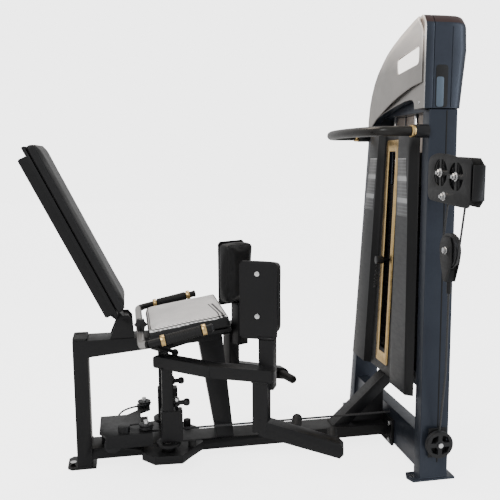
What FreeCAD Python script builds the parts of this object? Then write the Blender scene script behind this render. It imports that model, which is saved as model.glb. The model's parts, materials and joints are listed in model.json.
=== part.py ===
import FreeCAD, Part
import math
import os
import Sketcher

# Hip abductor machine with a selectorised weight tower.
# Frame, millimetres: origin under the rear post on the floor, +X runs from the seat to the
# tower, +Y is the user's left, +Z is up. Every driving size is on the sheet.

os.makedirs("parts", exist_ok=True)
doc = FreeCAD.newDocument("hip_abductor")
sheet = doc.addObject("Spreadsheet::Sheet", "Sizes")

DRIVING = {
    # floor frame
    "post_depth": 50, "post_width": 100, "post_height": 466, "foot_reach": 60, "foot_thick": 8,
    "foot_hole_x": 43, "foot_hole_radius": 5.5, "beam_low": 35, "beam_high": 76, "beam_end": 1120,
    "flange_face": 1130, "deck_low": 45, "deck_high": 75, "seat_beam_low": 406, "brace_width": 60,
    # tower
    "upright_depth": 100, "upright_width": 50, "upright_base_x": 1115, "upright_base_y": 360,
    "upright_lean_x": 40, "upright_lean_y": 91, "upright_height": 1240, "cross_low": 20, "cross_high": 150,
    "stack_bar_low": 280, "stack_bar_high": 330, "top_bar_high": 1280, "rear_cover_x": 1240,
    "shroud_low": 270, "shroud_high": 1165, "shroud_sheet": 2, "channel_depth": 22,
    # weight stack
    "stack_x": 1192, "plate_depth": 80, "plate_width": 280, "plate_thick": 25, "plate_pitch": 26,
    "plates_base": 352, "rod_spread": 90, "rod_radius": 9, "run_gap": 0.05,
    # hood
    "hood_back": 1256, "hood_face": 1152, "cover_face": 1118, "hood_low": 1242,
    # arms
    "pivot_x": 291, "pivot_y": 115, "shaft_radius": 12.5, "cam_radius": 42, "latch_radius": 31,
    "arm_low": 112, "bar_low": 375, "bar_width": 50, "inner_length": 182,
    "inner_turn": 41.2, "bend_x": 428, "bend_y": 235, "outer_length": 214, "outer_turn": 26.3,
    "post_along": 180, "post_across": 50, "post_top": 500, "leg_along": 172, "leg_low": 205,
    "foot_bar_x": 596, "foot_bar_y": 317, "foot_bar_turn": 17.5, "peg_radius": 17, "peg_length": 100,
    "pad_thick": 64, "pad_length": 130, "pad_low": 518, "pad_high": 750, "pad_plate_thick": 6,
    # seat and back
    "seat_half": 183, "seat_rise": 6.4, "hinge_x": 155, "hinge_z": 525, "recline": 26, "back_half": 130,
    "back_low": 45, "back_high": 675, "back_thick": 38, "rail_x": 205, "rail_z": 500, "rail_half": 275,
    "rail_rise": 12.1, "rail_radius": 12,
    # cable gear and handle
    "wheel_radius": 46, "float_y": 475, "float_z": 802, "float_radius": 52, "wheel_x": 1128,
    "wheel_thick": 18, "grip_radius": 16, "handle_z": 1168, "handle_x": 926, "handle_half": 268,
}
for row, (alias, amount) in enumerate(DRIVING.items(), start=1):
    sheet.set("A%d" % row, alias)
    sheet.set("B%d" % row, str(amount))
    sheet.setAlias("B%d" % row, alias)
doc.recompute()


class Dim(float):
    """A length that remembers the sheet expression it came from."""

    def __new__(cls, amount, text):
        made = float.__new__(cls, amount)
        made.text = text
        return made

    def __add__(self, other):
        return Dim(float(self) + float(other), "(%s + %s)" % (self.text, written(other)))

    def __radd__(self, other):
        return Dim(float(other) + float(self), "(%s + %s)" % (written(other), self.text))

    def __sub__(self, other):
        return Dim(float(self) - float(other), "(%s - %s)" % (self.text, written(other)))

    def __rsub__(self, other):
        return Dim(float(other) - float(self), "(%s - %s)" % (written(other), self.text))

    def __mul__(self, other):
        return Dim(float(self) * float(other), "(%s * %s)" % (self.text, written(other)))

    __rmul__ = __mul__

    def __truediv__(self, other):
        return Dim(float(self) / float(other), "(%s / %s)" % (self.text, written(other)))

    def __neg__(self):
        return Dim(-float(self), "(-1 * %s)" % self.text)


def written(amount):
    """Expression text of a size or a plain number."""
    return amount.text if isinstance(amount, Dim) else "(%.6g)" % float(amount)


def size(alias):
    return Dim(DRIVING[alias], "Sizes.%s" % alias)


def cosine(angle):
    return Dim(math.cos(math.radians(float(angle))), "cos(%s)" % written(angle))


def sine(angle):
    return Dim(math.sin(math.radians(float(angle))), "sin(%s)" % written(angle))


def bind(thing, prop, amount):
    if isinstance(amount, Dim):
        thing.setExpression(prop, amount.text)


def place(thing, at, turn=0, axis="Z"):
    """Put an object at a point, turned about one axis; sizes stay bound to the sheet."""
    direction = {"X": (1, 0, 0), "Y": (0, 1, 0), "Z": (0, 0, 1)}[axis]
    rotation = FreeCAD.Rotation(FreeCAD.Vector(*direction), 1.0)
    thing.Placement = FreeCAD.Placement(FreeCAD.Vector(*[float(v) for v in at]), rotation)
    for letter, amount in zip("xyz", at):
        bind(thing, "Placement.Base.%s" % letter, amount)
    if isinstance(turn, Dim):
        thing.setExpression("Placement.Rotation.Angle", turn.text)
    else:
        thing.Placement = FreeCAD.Placement(
            thing.Placement.Base, FreeCAD.Rotation(FreeCAD.Vector(*direction), float(turn)))
    return thing


def sketch_on(body, name, plane, offset=0):
    made = body.newObject("Sketcher::SketchObject", name)
    role = [item for item in body.Origin.OriginFeatures if item.Role == plane + "_Plane"][0]
    made.AttachmentSupport = [(role, "")]
    made.MapMode = "FlatFace"
    made.AttachmentOffset = FreeCAD.Placement(FreeCAD.Vector(0, 0, float(offset)), FreeCAD.Rotation())
    bind(made, "AttachmentOffset.Base.z", offset)
    return made


def fix(sketch, kind, *args):
    """Add one distance constraint, bound to the sheet when it is a size."""
    amount = args[-1]
    number = sketch.addConstraint(Sketcher.Constraint(kind, *args[:-1], float(amount)))
    if isinstance(amount, Dim):
        sketch.setExpression("Constraints[%d]" % number, amount.text)


def polygon(sketch, points, closed=True):
    start = sketch.GeometryCount
    count = len(points)
    last = count if closed else count - 1
    ends = [FreeCAD.Vector(float(x), float(y), 0) for x, y in points]
    for index in range(last):
        sketch.addGeometry(Part.LineSegment(ends[index], ends[(index + 1) % count]), False)
    for index in range(last if closed else last - 1):
        after = start + (index + 1) % count
        sketch.addConstraint(Sketcher.Constraint("Coincident", start + index, 2, after, 1))
    for index, (x, y) in enumerate(points):
        edge, end = (start + index, 1) if index < last else (start + last - 1, 2)
        fix(sketch, "DistanceX", edge, end, x)
        fix(sketch, "DistanceY", edge, end, y)


def circle(sketch, x, y, radius):
    centre = FreeCAD.Vector(float(x), float(y), 0)
    number = sketch.addGeometry(Part.Circle(centre, FreeCAD.Vector(0, 0, 1), float(radius)), False)
    fix(sketch, "DistanceX", number, 3, x)
    fix(sketch, "DistanceY", number, 3, y)
    fix(sketch, "Radius", number, radius)


def prism(name, plane, outline, length, at=(0, 0, 0), turn=0, axis="Z", both=True, holes=(), lean=None,
          offset=0):
    """Pad a closed outline (or one round given as three numbers) with optional round holes."""
    body = doc.addObject("PartDesign::Body", name)
    profile = sketch_on(body, name + "_outline", plane, offset)
    if isinstance(outline[0], (tuple, list)):
        polygon(profile, outline)
    else:
        circle(profile, *outline)
    for hole in holes:
        circle(profile, *hole)
    pad = body.newObject("PartDesign::Pad", name + "_pad")
    pad.Profile = profile
    pad.Length = float(length)
    bind(pad, "Length", length)
    if both:
        pad.SideType = "Symmetric"
    if lean is not None:
        pad.UseCustomVector = True
        pad.Direction = FreeCAD.Vector(*lean)
        pad.AlongSketchNormal = True
    place(body, at, turn, axis)
    return body


def rectangle(x0, y0, x1, y1):
    return [(x0, y0), (x1, y0), (x1, y1), (x0, y1)]


def chamfered(x0, y0, x1, y1, cut):
    return [(x0 + cut, y0), (x1 - cut, y0), (x1, y0 + cut), (x1, y1 - cut),
            (x1 - cut, y1), (x0 + cut, y1), (x0, y1 - cut), (x0, y0 + cut)]


def block(name, x0, y0, z0, x1, y1, z1):
    """Box between two corners."""
    return prism(name, "XY", rectangle(x0, y0, x1, y1), z1 - z0, (0, 0, z0), both=False)


def rod(name, radius, length, at, axis="Z", bore=None):
    """Round bar or ring whose low end is at a point, running along one axis."""
    plane = {"X": "YZ", "Y": "XZ", "Z": "XY"}[axis]
    holes = [(0, 0, bore)] if bore is not None else []
    if axis == "Y":
        return prism(name, plane, (0, 0, radius), length, (at[0], at[1] + length / 2, at[2]), holes=holes)
    return prism(name, plane, (0, 0, radius), length, at, both=False, holes=holes)


def join(name, parts):
    if len(parts) == 1:
        parts[0].Label = name
        return parts[0]
    made = doc.addObject("Part::MultiFuse", name)
    made.Shapes = parts
    return made


def cut(name, base, tools):
    made = doc.addObject("Part::Cut", name)
    made.Base = base
    made.Tool = tools[0] if len(tools) == 1 else join(name + "_tools", tools)
    return made


def gather(name, parts):
    """Separate like solids kept together under one name."""
    made = doc.addObject("Part::Compound", name)
    made.Links = parts
    return made


nodes = []


def node(name, thing):
    thing.Label = name
    nodes.append((name, thing))
    return thing


# ---------------------------------------------------------------- floor frame, one weldment
half_post = size("post_depth") / 2
half_width = size("post_width") / 2
deck_outline = [(199, 110), (241, 160), (336, 166), (364, 128), (417, 67),
                (417, -67), (364, -128), (336, -166), (241, -160), (199, -110)]
seat_beam_outline = [(0, size("seat_beam_low") - 5), (33, size("seat_beam_low")), (152, 417), (315, 432),
                     (416, 440), (496, 445), (488, 484), (440, 479), (240, 467), (150, size("post_height")),
                     (0, size("post_height"))]
flange_holes = [(-85, 30, 5.5), (85, 30, 5.5), (-85, 94, 5.5), (85, 94, 5.5)]
base_frame = join("base_frame", [
    block("rear_post", -half_post, -half_width, 0, half_post, half_width, size("post_height")),
    prism("rear_foot", "XY",
          [(-size("foot_reach"), -35), (-45, -half_width), (40, -half_width),
           (40, half_width), (-45, half_width), (-size("foot_reach"), 35)],
          size("foot_thick"), both=False, holes=[(-size("foot_hole_x"), 0, size("foot_hole_radius"))]),
    block("base_beam", 0, -half_width, size("beam_low"), size("beam_end"), half_width, size("beam_high")),
    prism("pivot_deck", "XY", deck_outline, size("deck_high") - size("deck_low"), (0, 0, size("deck_low")),
          both=False),
    prism("seat_beam", "XZ", seat_beam_outline, size("post_width")),
    prism("front_strut", "XZ", [(412, 440), (496, 445), (534, 70), (473, 70)], 80),
    prism("tower_brace", "XZ", [(909, 70), (970, 70), (1165, 252), (1165, 309)], size("brace_width")),
    prism("brace_gusset", "XZ", [(985, 70), (1125, 70), (1125, 208)], 8),
    prism("tower_flange", "YZ", rectangle(-105, 12, 105, 112), size("flange_face") - size("beam_end"),
          (size("beam_end"), 0, 0), both=False, holes=flange_holes),
])
node("base_frame", base_frame)

cap_body = prism("rear_post_cap", "XY", chamfered(-half_post, -half_width, half_post, half_width, 4), 7,
                 (0, 0, size("post_height")), both=False)
cap_recess = sketch_on(cap_body, "cap_recess_outline", "XY", 7)
polygon(cap_recess, chamfered(-15, -32, 15, 32, 5))
cap_pocket = cap_body.newObject("PartDesign::Pocket", "cap_recess")
cap_pocket.Profile = cap_recess
cap_pocket.Length = 2
node("rear_post_cap", cap_body)


def bolt(name, x, y, z, axis, radius=9, tall=7, sign=1):
    """Hexagon head standing on a face, facing along one axis."""
    corners = [(radius * math.cos(math.radians(60 * k)), radius * math.sin(math.radians(60 * k)))
               for k in range(6)]
    plane = {"X": "YZ", "Y": "XZ", "Z": "XY"}[axis]
    centre = [x, y, z]
    slot = "XYZ".index(axis)
    centre[slot] = centre[slot] + sign * tall / 2
    return prism(name, plane, corners, tall, tuple(centre))


node("flange_bolts", gather("flange_bolts", [
    bolt("flange_bolt_%d" % k, size("beam_end"), y, z, "X", 9.5, 7, -1)
    for k, (y, z, _) in enumerate(flange_holes)]))

# ---------------------------------------------------------------- tower, one weldment
lean = (size("upright_lean_x") / size("upright_height"), size("upright_lean_y") / size("upright_height"))


def upright(name, side):
    outer = size("upright_base_y")
    inner = outer - size("upright_width")
    low_x = size("upright_base_x")
    corners = [(low_x, side * outer), (low_x + size("upright_depth"), side * outer),
               (low_x + size("upright_depth"), side * inner), (low_x, side * inner)]
    slope = (float(lean[0]), -side * float(lean[1]), 1.0)
    return prism(name, "XY", corners, size("upright_height"), both=False, lean=slope)


def tower_foot(name, side):
    outline = [(1090, side * 302), (1078, side * 335), (1090, side * 368), (1240, side * 368),
               (1240, side * 302)]
    return prism(name, "XY", outline, size("foot_thick"), both=False,
                 holes=[(1097, side * 335, size("foot_hole_radius"))])


tower_frame = join("tower_frame", [
    upright("right_upright", -1),
    upright("left_upright", 1),
    tower_foot("right_tower_foot", -1),
    tower_foot("left_tower_foot", 1),
    block("tower_crossbar", size("flange_face"), -325, size("cross_low"), 1180, 325, size("cross_high")),
    block("stack_bar", 1165, -302, size("stack_bar_low"), size("rear_cover_x"), 302, size("stack_bar_high")),
    block("tower_top_bar", 1168, -240, size("upright_height") - 6, size("rear_cover_x"), 240,
          size("top_bar_high")),
])
node("tower_frame", tower_frame)

# ---------------------------------------------------------------- shrouds and trim
shroud_low = size("shroud_low")
shroud_high = size("shroud_high")


def shroud_section(face, half, half_channel, floor_half, back_x, back_y):
    sheet_thick = size("shroud_sheet")
    deep = size("channel_depth")
    outer = [(back_x, -back_y), (face, -half), (face, -half_channel), (face + deep, -floor_half),
             (face + deep, floor_half), (face, half_channel), (face, half), (back_x, back_y)]
    inner = [(x + sheet_thick, y) for x, y in reversed(outer)]
    return outer + inner


shroud = doc.addObject("PartDesign::Body", "front_shroud")
low_section = sketch_on(shroud, "shroud_low_section", "XY", shroud_low)
polygon(low_section, shroud_section(1094.5, 265, 132, 112, 1118, 283))
high_section = sketch_on(shroud, "shroud_high_section", "XY", shroud_high)
polygon(high_section, shroud_section(1125.2, 177, 92, 76, 1148, 217))
shroud_loft = shroud.newObject("PartDesign::AdditiveLoft", "shroud_loft")
shroud_loft.Profile = low_section
shroud_loft.Sections = [high_section]
shroud_loft.Ruled = True
slot_sketch = sketch_on(shroud, "slot_outline", "YZ", 1080)
polygon(slot_sketch, rectangle(-32, 345, 32, 1110))
slot_cut = shroud.newObject("PartDesign::Pocket", "slot_cut")
slot_cut.Profile = slot_sketch
slot_cut.Length = 90
slot_cut.Reversed = True
node("front_shroud", shroud)

node("rear_shroud", prism("rear_shroud", "YZ", [(-286, 262), (286, 262), (214, 1250), (-214, 1250)], 3,
                          (size("rear_cover_x"), 0, 0), both=False))

shroud_lean = 30.7 / (float(shroud_high) - float(shroud_low))
shroud_slope = math.degrees(math.atan(shroud_lean))


def shroud_face(level):
    """Front face of the shroud at a height."""
    return 1094.5 + shroud_lean * (level - float(shroud_low))


trim = prism("slot_trim", "YZ", chamfered(-57, 0, 57, 842, 8), 3,
             (shroud_face(305) + float(size("channel_depth")) - 3.1, 0, 305),
             turn=shroud_slope, axis="Y", both=False)
trim_opening = sketch_on(trim, "trim_opening", "YZ", 3)
polygon(trim_opening, rectangle(-30, 42, 30, 800))
trim_cut = trim.newObject("PartDesign::Pocket", "trim_window")
trim_cut.Profile = trim_opening
trim_cut.Length = 3
node("slot_trim", trim)

node("placards", gather("placards", [
    prism("right_placard", "YZ", [(-205, 0), (-118, 0), (-100, 200), (-168, 200)], 0.8,
          (shroud_face(880) - 0.9, 0, 880), turn=shroud_slope, axis="Y", both=False),
    prism("left_placard", "YZ", [(118, 0), (205, 0), (168, 200), (100, 200)], 0.8,
          (shroud_face(880) - 0.9, 0, 880), turn=shroud_slope, axis="Y", both=False)]))

# ---------------------------------------------------------------- hood
roof = [(-272, 1518), (-250, 1531), (-150, 1510), (-50, 1474), (50, 1422),
        (130, 1368), (200, 1318), (262, 1288)]
hood_outline = [(-272, size("hood_low"))] + roof + [(272, 1276), (272, size("hood_low"))]
hood_inside = [(-268, 1200), (-268, 1513), (-248, 1526), (-150, 1505), (-50, 1469), (50, 1417),
               (130, 1363), (200, 1313), (260, 1284), (268, 1273), (268, 1200)]
hood_solid = prism("hood_solid", "YZ", hood_outline, size("hood_back") - size("hood_face") + 8,
                   (size("hood_face"), 0, 0), both=False)
hood_room = prism("hood_room", "YZ", hood_inside, 120, (size("hood_back") + 4 - 120, 0, 0), both=False)
side_recess = prism("side_recess", "XZ",
                    [(1163, 1230), (1163, 1360), (1170, 1378), (1187, 1378), (1194, 1360), (1194, 1230)],
                    3, (0, -272, 0))
node("hood_shell", cut("hood_shell", hood_solid, [hood_room, side_recess]))

cover_outline = [(-272, 1242), (-272, 1518), (-250, 1531), (-150, 1510), (-50, 1474), (50, 1422), (130, 1368),
                 (175, 1318), (205, 1250), (215, 1172), (198, 1172), (188, 1198), (160, 1218), (100, 1238),
                 (0, 1258), (-110, 1272), (-170, 1276), (-190, 1272), (-200, 1260), (-203, 1242)]
cover_body = prism("hood_cover", "YZ", cover_outline, size("hood_face") - size("cover_face"),
                   (size("cover_face"), 0, 0), both=False)
window = sketch_on(cover_body, "cover_window", "YZ", 34)
polygon(window, [(-248, 1414), (-236, 1398), (-92, 1364), (-80, 1374), (-80, 1398), (-92, 1412), (-234, 1447),
                 (-248, 1437)])
window_cut = cover_body.newObject("PartDesign::Pocket", "cover_window_cut")
window_cut.Profile = window
window_cut.Length = 34
back_relief = sketch_on(cover_body, "cover_relief", "YZ", 34)
polygon(back_relief, [(-262, 1300), (-262, 1505), (-246, 1516), (-150, 1498), (-50, 1462), (50, 1410),
                      (120, 1358), (160, 1300)])
relief_cut = cover_body.newObject("PartDesign::Pocket", "cover_relief_cut")
relief_cut.Profile = back_relief
relief_cut.Length = 28
node("hood_cover", cover_body)
node("hood_screws", gather("hood_screws", [
    rod("hood_screw_0", 4, 2, (size("cover_face") - 2, -238, 1262), "X"),
    rod("hood_screw_1", 4, 2, (size("cover_face") - 2, 192, 1232), "X"),
    rod("hood_screw_2", 4, 2, (size("cover_face") - 2, -255, 1500), "X")]))

# ---------------------------------------------------------------- weight stack
stack_x = size("stack_x")
rod_radius = size("rod_radius")
bore = rod_radius + size("run_gap")
node("guide_rods", gather("guide_rods", [
    rod("guide_rod_%d" % k, rod_radius, size("upright_height") - 6 - size("stack_bar_high"),
        (stack_x, side * size("rod_spread"), size("stack_bar_high")))
    for k, side in enumerate((-1, 1))]))
node("stack_bumpers", gather("stack_bumpers", [
    rod("stack_bumper_%d" % k, 19, size("plates_base") - size("stack_bar_high") - 0.5,
        (stack_x, side * size("rod_spread"), size("stack_bar_high")), bore=bore)
    for k, side in enumerate((-1, 1))]))


def weight_plate(name, level, thick, centre_hole=8.06):
    half_depth = size("plate_depth") / 2
    half_plate = size("plate_width") / 2
    outline = chamfered(-half_depth, -half_plate, half_depth, half_plate, 4)
    holes = [(0, -size("rod_spread"), bore), (0, size("rod_spread"), bore)]
    if centre_hole:
        holes.append((0, 0, centre_hole))
    return prism(name, "XY", outline, thick, (stack_x, 0, level), both=False, holes=holes)


plates_base = size("plates_base")
pitch = size("plate_pitch")
node("lower_plates", gather("lower_plates", [
    weight_plate("lower_plate_%02d" % k, plates_base + pitch * k, size("plate_thick")) for k in range(13)]))
pin_level = plates_base + pitch * 13 + 12.5
lifted_plates = []
for k in range(13, 23):
    lifted_plates.append(weight_plate("lifted_plate_%02d" % k, plates_base + pitch * k, size("plate_thick")))
pin_bore = rod("pin_bore", 5, 60, (stack_x - 61, 0, pin_level), "X")
lifted_plates[0] = cut("pinned_plate", lifted_plates[0], [pin_bore])
node("lifted_plates", gather("lifted_plates", lifted_plates))
top_level = plates_base + pitch * 23
node("top_plate", weight_plate("top_plate", top_level, 30))
stem_rod = rod("stem_rod", 8, pitch * 10 + 84, (stack_x, 0, plates_base + pitch * 13 - 16))
stem_hole = rod("stem_hole", 5, 40, (stack_x - 20, 0, pin_level), "X")
stem_collar = rod("stem_collar", 14, 12, (stack_x, 0, top_level + 30.2))
node("selector_stem", join("selector_stem", [cut("stem_cross_hole", stem_rod, [stem_hole]), stem_collar]))
node("selector_pin", join("selector_pin", [
    rod("pin_shank", 4.9, 84, (stack_x - 82, 0, pin_level), "X"),
    rod("pin_knob", 15, 26, (stack_x - 106, 0, pin_level), "X")]))

# ---------------------------------------------------------------- assist handle
handle = doc.addObject("PartDesign::Body", "assist_handle")
handle_path = sketch_on(handle, "handle_path", "XY")
reach = size("handle_x")
half_span = size("handle_half")
polygon(handle_path, [(1151.5, -half_span), (1005, -half_span), (963, -218), (reach, -100),
                      (reach, 100), (963, 218), (1005, half_span), (1151.5, half_span)], closed=False)
handle_ring = sketch_on(handle, "handle_ring", "YZ", 1151.5)
circle(handle_ring, -half_span, 0, size("grip_radius"))
handle_pipe = handle.newObject("PartDesign::AdditivePipe", "handle_pipe")
handle_pipe.Profile = handle_ring
handle_pipe.Spine = handle_path
handle_pipe.Transition = "Round corner"
place(handle, (0, 0, size("handle_z")))
node("assist_handle", handle)
node("handle_collars", gather("handle_collars", [
    rod("handle_collar_%d" % k, 19 + grow, length, (x, side * half_span, size("handle_z")), "X",
        bore=size("grip_radius") + 0.02)
    for k, (side, x, length, grow) in enumerate([(-1, 1092, 12, 0), (-1, 1104.2, 46, 3), (1, 1092, 12, 0),
                                                 (1, 1104.2, 46, 3)])]))

# ---------------------------------------------------------------- tower cable gear
wheel_x = size("wheel_x")
upper_wheels = [("upper_pulley_inner", 429, 1036), ("upper_pulley_outer", 526, 1026)]
axle_radius = 8
node("upper_pulley_bracket", join("upper_pulley_bracket", [
    prism("pulley_plate", "YZ",
          [(-300, 955), (-600, 940), (-618, 958), (-618, 1060), (-596, 1080), (-480, 1084), (-300, 1075)],
          6, (1152, 0, 0), both=False),
    prism("plate_return", "XY", rectangle(1122, -624, 1158, -618), 100, (0, 0, 960), both=False),
    block("plate_tab", 1152, -330, 962, 1200, -290, 1060)]))
lower_y = 388
lower_x = 1172
lower_z = 135
node("pulley_axles", gather("pulley_axles", [
    rod("upper_axle_0", axle_radius, 34, (1118, -429, 1036), "X"),
    rod("upper_axle_1", axle_radius, 34, (1118, -526, 1026), "X"),
    rod("lower_axle", axle_radius, 42, (lower_x, -lower_y - 6, lower_z), "Y"),
    rod("redirect_axle_0", axle_radius, 32, (215, -112, 158), "Z"),
    rod("redirect_axle_1", axle_radius, 32, (215, 112, 158), "Z"),
    rod("guide_axle_0", axle_radius, 66, (100, -86, 92), "Y"),
    rod("guide_axle_1", axle_radius, 66, (100, 20, 92), "Y")]))


def wheel(name, radius, thick, at, axis):
    """Grooved cable wheel with four windows, turned about one axis."""
    rim = rod(name + "_rim", radius, thick, at, axis, bore=axle_radius + size("run_gap"))
    slot = "XYZ".index(axis)
    plane = {"X": "YZ", "Y": "XZ", "Z": "XY"}[axis]
    middle = list(at)
    middle[slot] = middle[slot] + thick / 2
    tools = []
    if radius > 35:
        for k in range(4):
            ring = [(radius * share * math.cos(math.radians(45 + 90 * k + swing)),
                     radius * share * math.sin(math.radians(45 + 90 * k + swing)))
                    for share, swing in ((0.36, -20), (0.74, -32), (0.80, 0), (0.74, 32), (0.36, 20))]
            tools.append(prism("%s_window_%d" % (name, k), plane, ring, thick + 4, tuple(middle)))
    groove = doc.addObject("Part::Torus", name + "_groove")
    groove.Radius1 = float(radius) + 1.0
    groove.Radius2 = float(thick) * 0.28
    spin = {"X": FreeCAD.Rotation(FreeCAD.Vector(0, 1, 0), 90),
            "Y": FreeCAD.Rotation(FreeCAD.Vector(1, 0, 0), 90),
            "Z": FreeCAD.Rotation()}[axis]
    groove.Placement = FreeCAD.Placement(FreeCAD.Vector(*[float(v) for v in middle]), spin)
    return cut(name, rim, tools + [groove])


for name, y, z in upper_wheels:
    node(name, wheel(name, size("wheel_radius"), size("wheel_thick"), (wheel_x, -y, z), "X"))
node("lower_pulley", wheel("lower_pulley", 46, 18, (lower_x, -lower_y, lower_z), "Y"))
node("lower_pulley_bracket", prism("lower_pulley_bracket", "XZ", rectangle(1140, 84, 1204, 186), 5,
                                   (0, -lower_y + 23.5, 0), holes=[(lower_x, lower_z, 8.05)]))
float_y = size("float_y")
float_z = size("float_z")
node("floating_pulley", wheel("floating_pulley", size("float_radius"), 18, (wheel_x, -float_y, float_z), "X"))
fork_outline = [(-36, 20), (-36, -30), (-10, -96), (10, -96), (36, -30), (36, 20), (22, 42), (-22, 42)]
node("floating_fork", join("floating_fork", [
    prism("fork_front", "YZ", fork_outline, 4, (wheel_x - 6, -float_y, float_z), both=False),
    prism("fork_rear", "YZ", fork_outline, 4, (wheel_x + 20, -float_y, float_z), both=False),
    prism("fork_foot", "YZ", rectangle(-10, -96, 10, -60), 30, (wheel_x - 6, -float_y, float_z), both=False),
    rod("fork_axle", axle_radius, 34, (wheel_x - 8, -float_y, float_z), "X"),
    rod("fork_fitting", 7, 40, (wheel_x + 9, -float_y, float_z - 134))]))

# ---------------------------------------------------------------- rear cable gear
node("rear_pulley_bracket", join("rear_pulley_bracket", [
    prism("rear_pulley_plate", "XY",
          [(57, -110), (80, -150), (236, -150), (236, -78), (200, -50), (200, 50), (236, 78), (236, 136),
           (226, 146), (198, 146), (188, 136), (188, 70), (150, 34), (57, 34)], 8, (0, 0, 150), both=False),
    block("rear_pulley_web", 60, -20, 76, 225, 20, 151),
    prism("rear_pulley_skirt", "XZ", rectangle(80, 112, 236, 151), 5, (0, -147.5, 0)),
    rod("rear_plate_cap", 20, 22, (140, -120, 157))]))
for word, side in (("right", -1), ("left", 1)):
    node("rear_redirect_" + word, wheel("rear_redirect_" + word, 24, 16, (215, side * 112, 161), "Z"))
    low_y = 58 if side > 0 else -74
    node("rear_guide_" + word, wheel("rear_guide_" + word, 30, 16, (100, low_y, 92), "Y"))
node("drive_cable", rod("drive_cable", 3, 889, (240, -62, 128), "X"))

# ---------------------------------------------------------------- seat and handles
seat_slope = size("seat_rise")
seat_half = size("seat_half")
seat_at = (234, 0, 474)
seat_parts = dict(turn=-seat_slope, axis="Y")
node("seat_board", join("seat_board", [
    prism("seat_plywood", "XZ", rectangle(2, 2, 276, 13), seat_half * 2 - 8, seat_at, **seat_parts),
    prism("seat_cheek_right", "XZ", [(20, 2.5), (200, 2.5), (150, -48), (30, -48)], 6, (234, -56, 474),
          **seat_parts),
    prism("seat_cheek_left", "XZ", [(20, 2.5), (200, 2.5), (150, -48), (30, -48)], 6, (234, 56, 474),
          **seat_parts)]))
node("seat_pad", prism("seat_pad", "XZ",
                       [(-3, 14), (277, 14), (279, 20), (276, 58), (268, 63), (6, 50), (-3, 44)],
                       seat_half * 2, seat_at, **seat_parts))
node("seat_lever", join("seat_lever", [
    prism("lever_bar", "XZ", [(-8, -6), (0, -9), (62, -9), (62, 2), (-2, 7), (-8, 5)],
          7, (266, -64, 440), turn=24, axis="Y"),
    rod("lever_boss", 9, 8, (266, -68, 440), "Y"),
    rod("lever_knob", 12, 10, (324, -71, 411), "Y")]))

rail_rise = size("rail_rise")
rail_at = (size("rail_x"), 0, size("rail_z"))
rail_half = size("rail_half")
rail = doc.addObject("PartDesign::Body", "seat_rail_tube")
rail_path = sketch_on(rail, "rail_path", "XY")
polygon(rail_path, [(226, -rail_half), (22, -rail_half), (0, 22 - rail_half), (0, rail_half - 22),
                    (22, rail_half), (226, rail_half)], closed=False)
rail_ring = sketch_on(rail, "rail_ring", "YZ", 226)
circle(rail_ring, -rail_half, 0, size("rail_radius"))
rail_pipe = rail.newObject("PartDesign::AdditivePipe", "rail_pipe")
rail_pipe.Profile = rail_ring
rail_pipe.Spine = rail_path
rail_pipe.Transition = "Round corner"
place(rail, rail_at, -rail_rise, "Y")
node("seat_handle_frame", join("seat_handle_frame", [
    rail,
    block("rail_saddle", 193, -38, 467, 217, 38, 496),
    block("knob_tab", 197, -132, 497, 217, -124, 549)]))


def on_rail(name, radius, start, length, side):
    return prism(name, "YZ", (side * rail_half, 0, radius), length, rail_at, turn=-rail_rise, axis="Y",
                 both=False, holes=[(side * rail_half, 0, size("rail_radius") + 0.03)], offset=start)


node("seat_handle_grips", gather("seat_handle_grips", [
    on_rail("seat_grip_%d" % k, 17, 78, 116, side) for k, side in enumerate((-1, 1))]))
node("seat_handle_collars", gather("seat_handle_collars", [
    on_rail("seat_collar_%d_%d" % (k, start), 18.5, start, 14, side)
    for k, side in enumerate((-1, 1)) for start in (62, 196)]))
node("star_knob", join("star_knob", [
    prism("knob_star", "XZ",
          [(radius * math.cos(math.radians(30 * k)), radius * math.sin(math.radians(30 * k)))
           for k, radius in enumerate([22, 16] * 6)], 14, (207, -142, 537)),
    rod("knob_neck", 10, 3.5, (207, -136, 537), "Y")]))

# ---------------------------------------------------------------- backrest
hinge = (size("hinge_x"), 0, size("hinge_z"))
recline = size("recline")
ear_outline = [(-53, -58), (30, -57), (26, 6), (12, 23), (-16, 23), (-24, 12)]
node("backrest_hinge", join("backrest_hinge", [
    prism("hinge_ear_right", "XZ", ear_outline, 8, (hinge[0], -44, hinge[2])),
    prism("hinge_ear_left", "XZ", ear_outline, 8, (hinge[0], 44, hinge[2])),
    rod("hinge_pin", 8, 104, (hinge[0], -52, hinge[2]), "Y")]))
back_turn = dict(turn=-recline, axis="Y")
lug = join("hinge_lug", [
    prism("lug_round", "XZ", (0, 0, 17), 76, hinge, **back_turn),
    prism("lug_web", "XZ", [(-17, 0), (10, 0), (-3, 40), (-3, 62), (-44, 62)], 76, hinge, **back_turn)])
frame_panel = prism("back_panel", "XZ", chamfered(-44, 52, -11, 641, 5), 200, hinge, **back_turn)
panel_room = prism("back_panel_room", "XZ", rectangle(-60, 100, -17, 596), 136, hinge, **back_turn)
frame_opening = cut("back_frame_rails", frame_panel, [panel_room])
back_board = prism("back_board", "XZ", rectangle(-11.5, size("back_low") + 4, -1, size("back_high") - 6),
                   size("back_half") * 2 - 14, hinge, **back_turn)
lug_bore = rod("lug_bore", 8.05, 120, (hinge[0], -60, hinge[2]), "Y")
back_weldment = join("back_weldment", [lug, frame_opening, back_board])
node("backrest_frame", cut("backrest_frame", back_weldment, [lug_bore]))
thick = size("back_thick")
node("backrest_pad", prism("backrest_pad", "XZ",
                           [(0, size("back_low")), (thick - 9, size("back_low")),
                            (thick, size("back_low") + 12), (thick, size("back_high") - 14),
                            (thick - 10, size("back_high")), (0, size("back_high") - 3)],
                           size("back_half") * 2, hinge, **back_turn))

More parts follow.
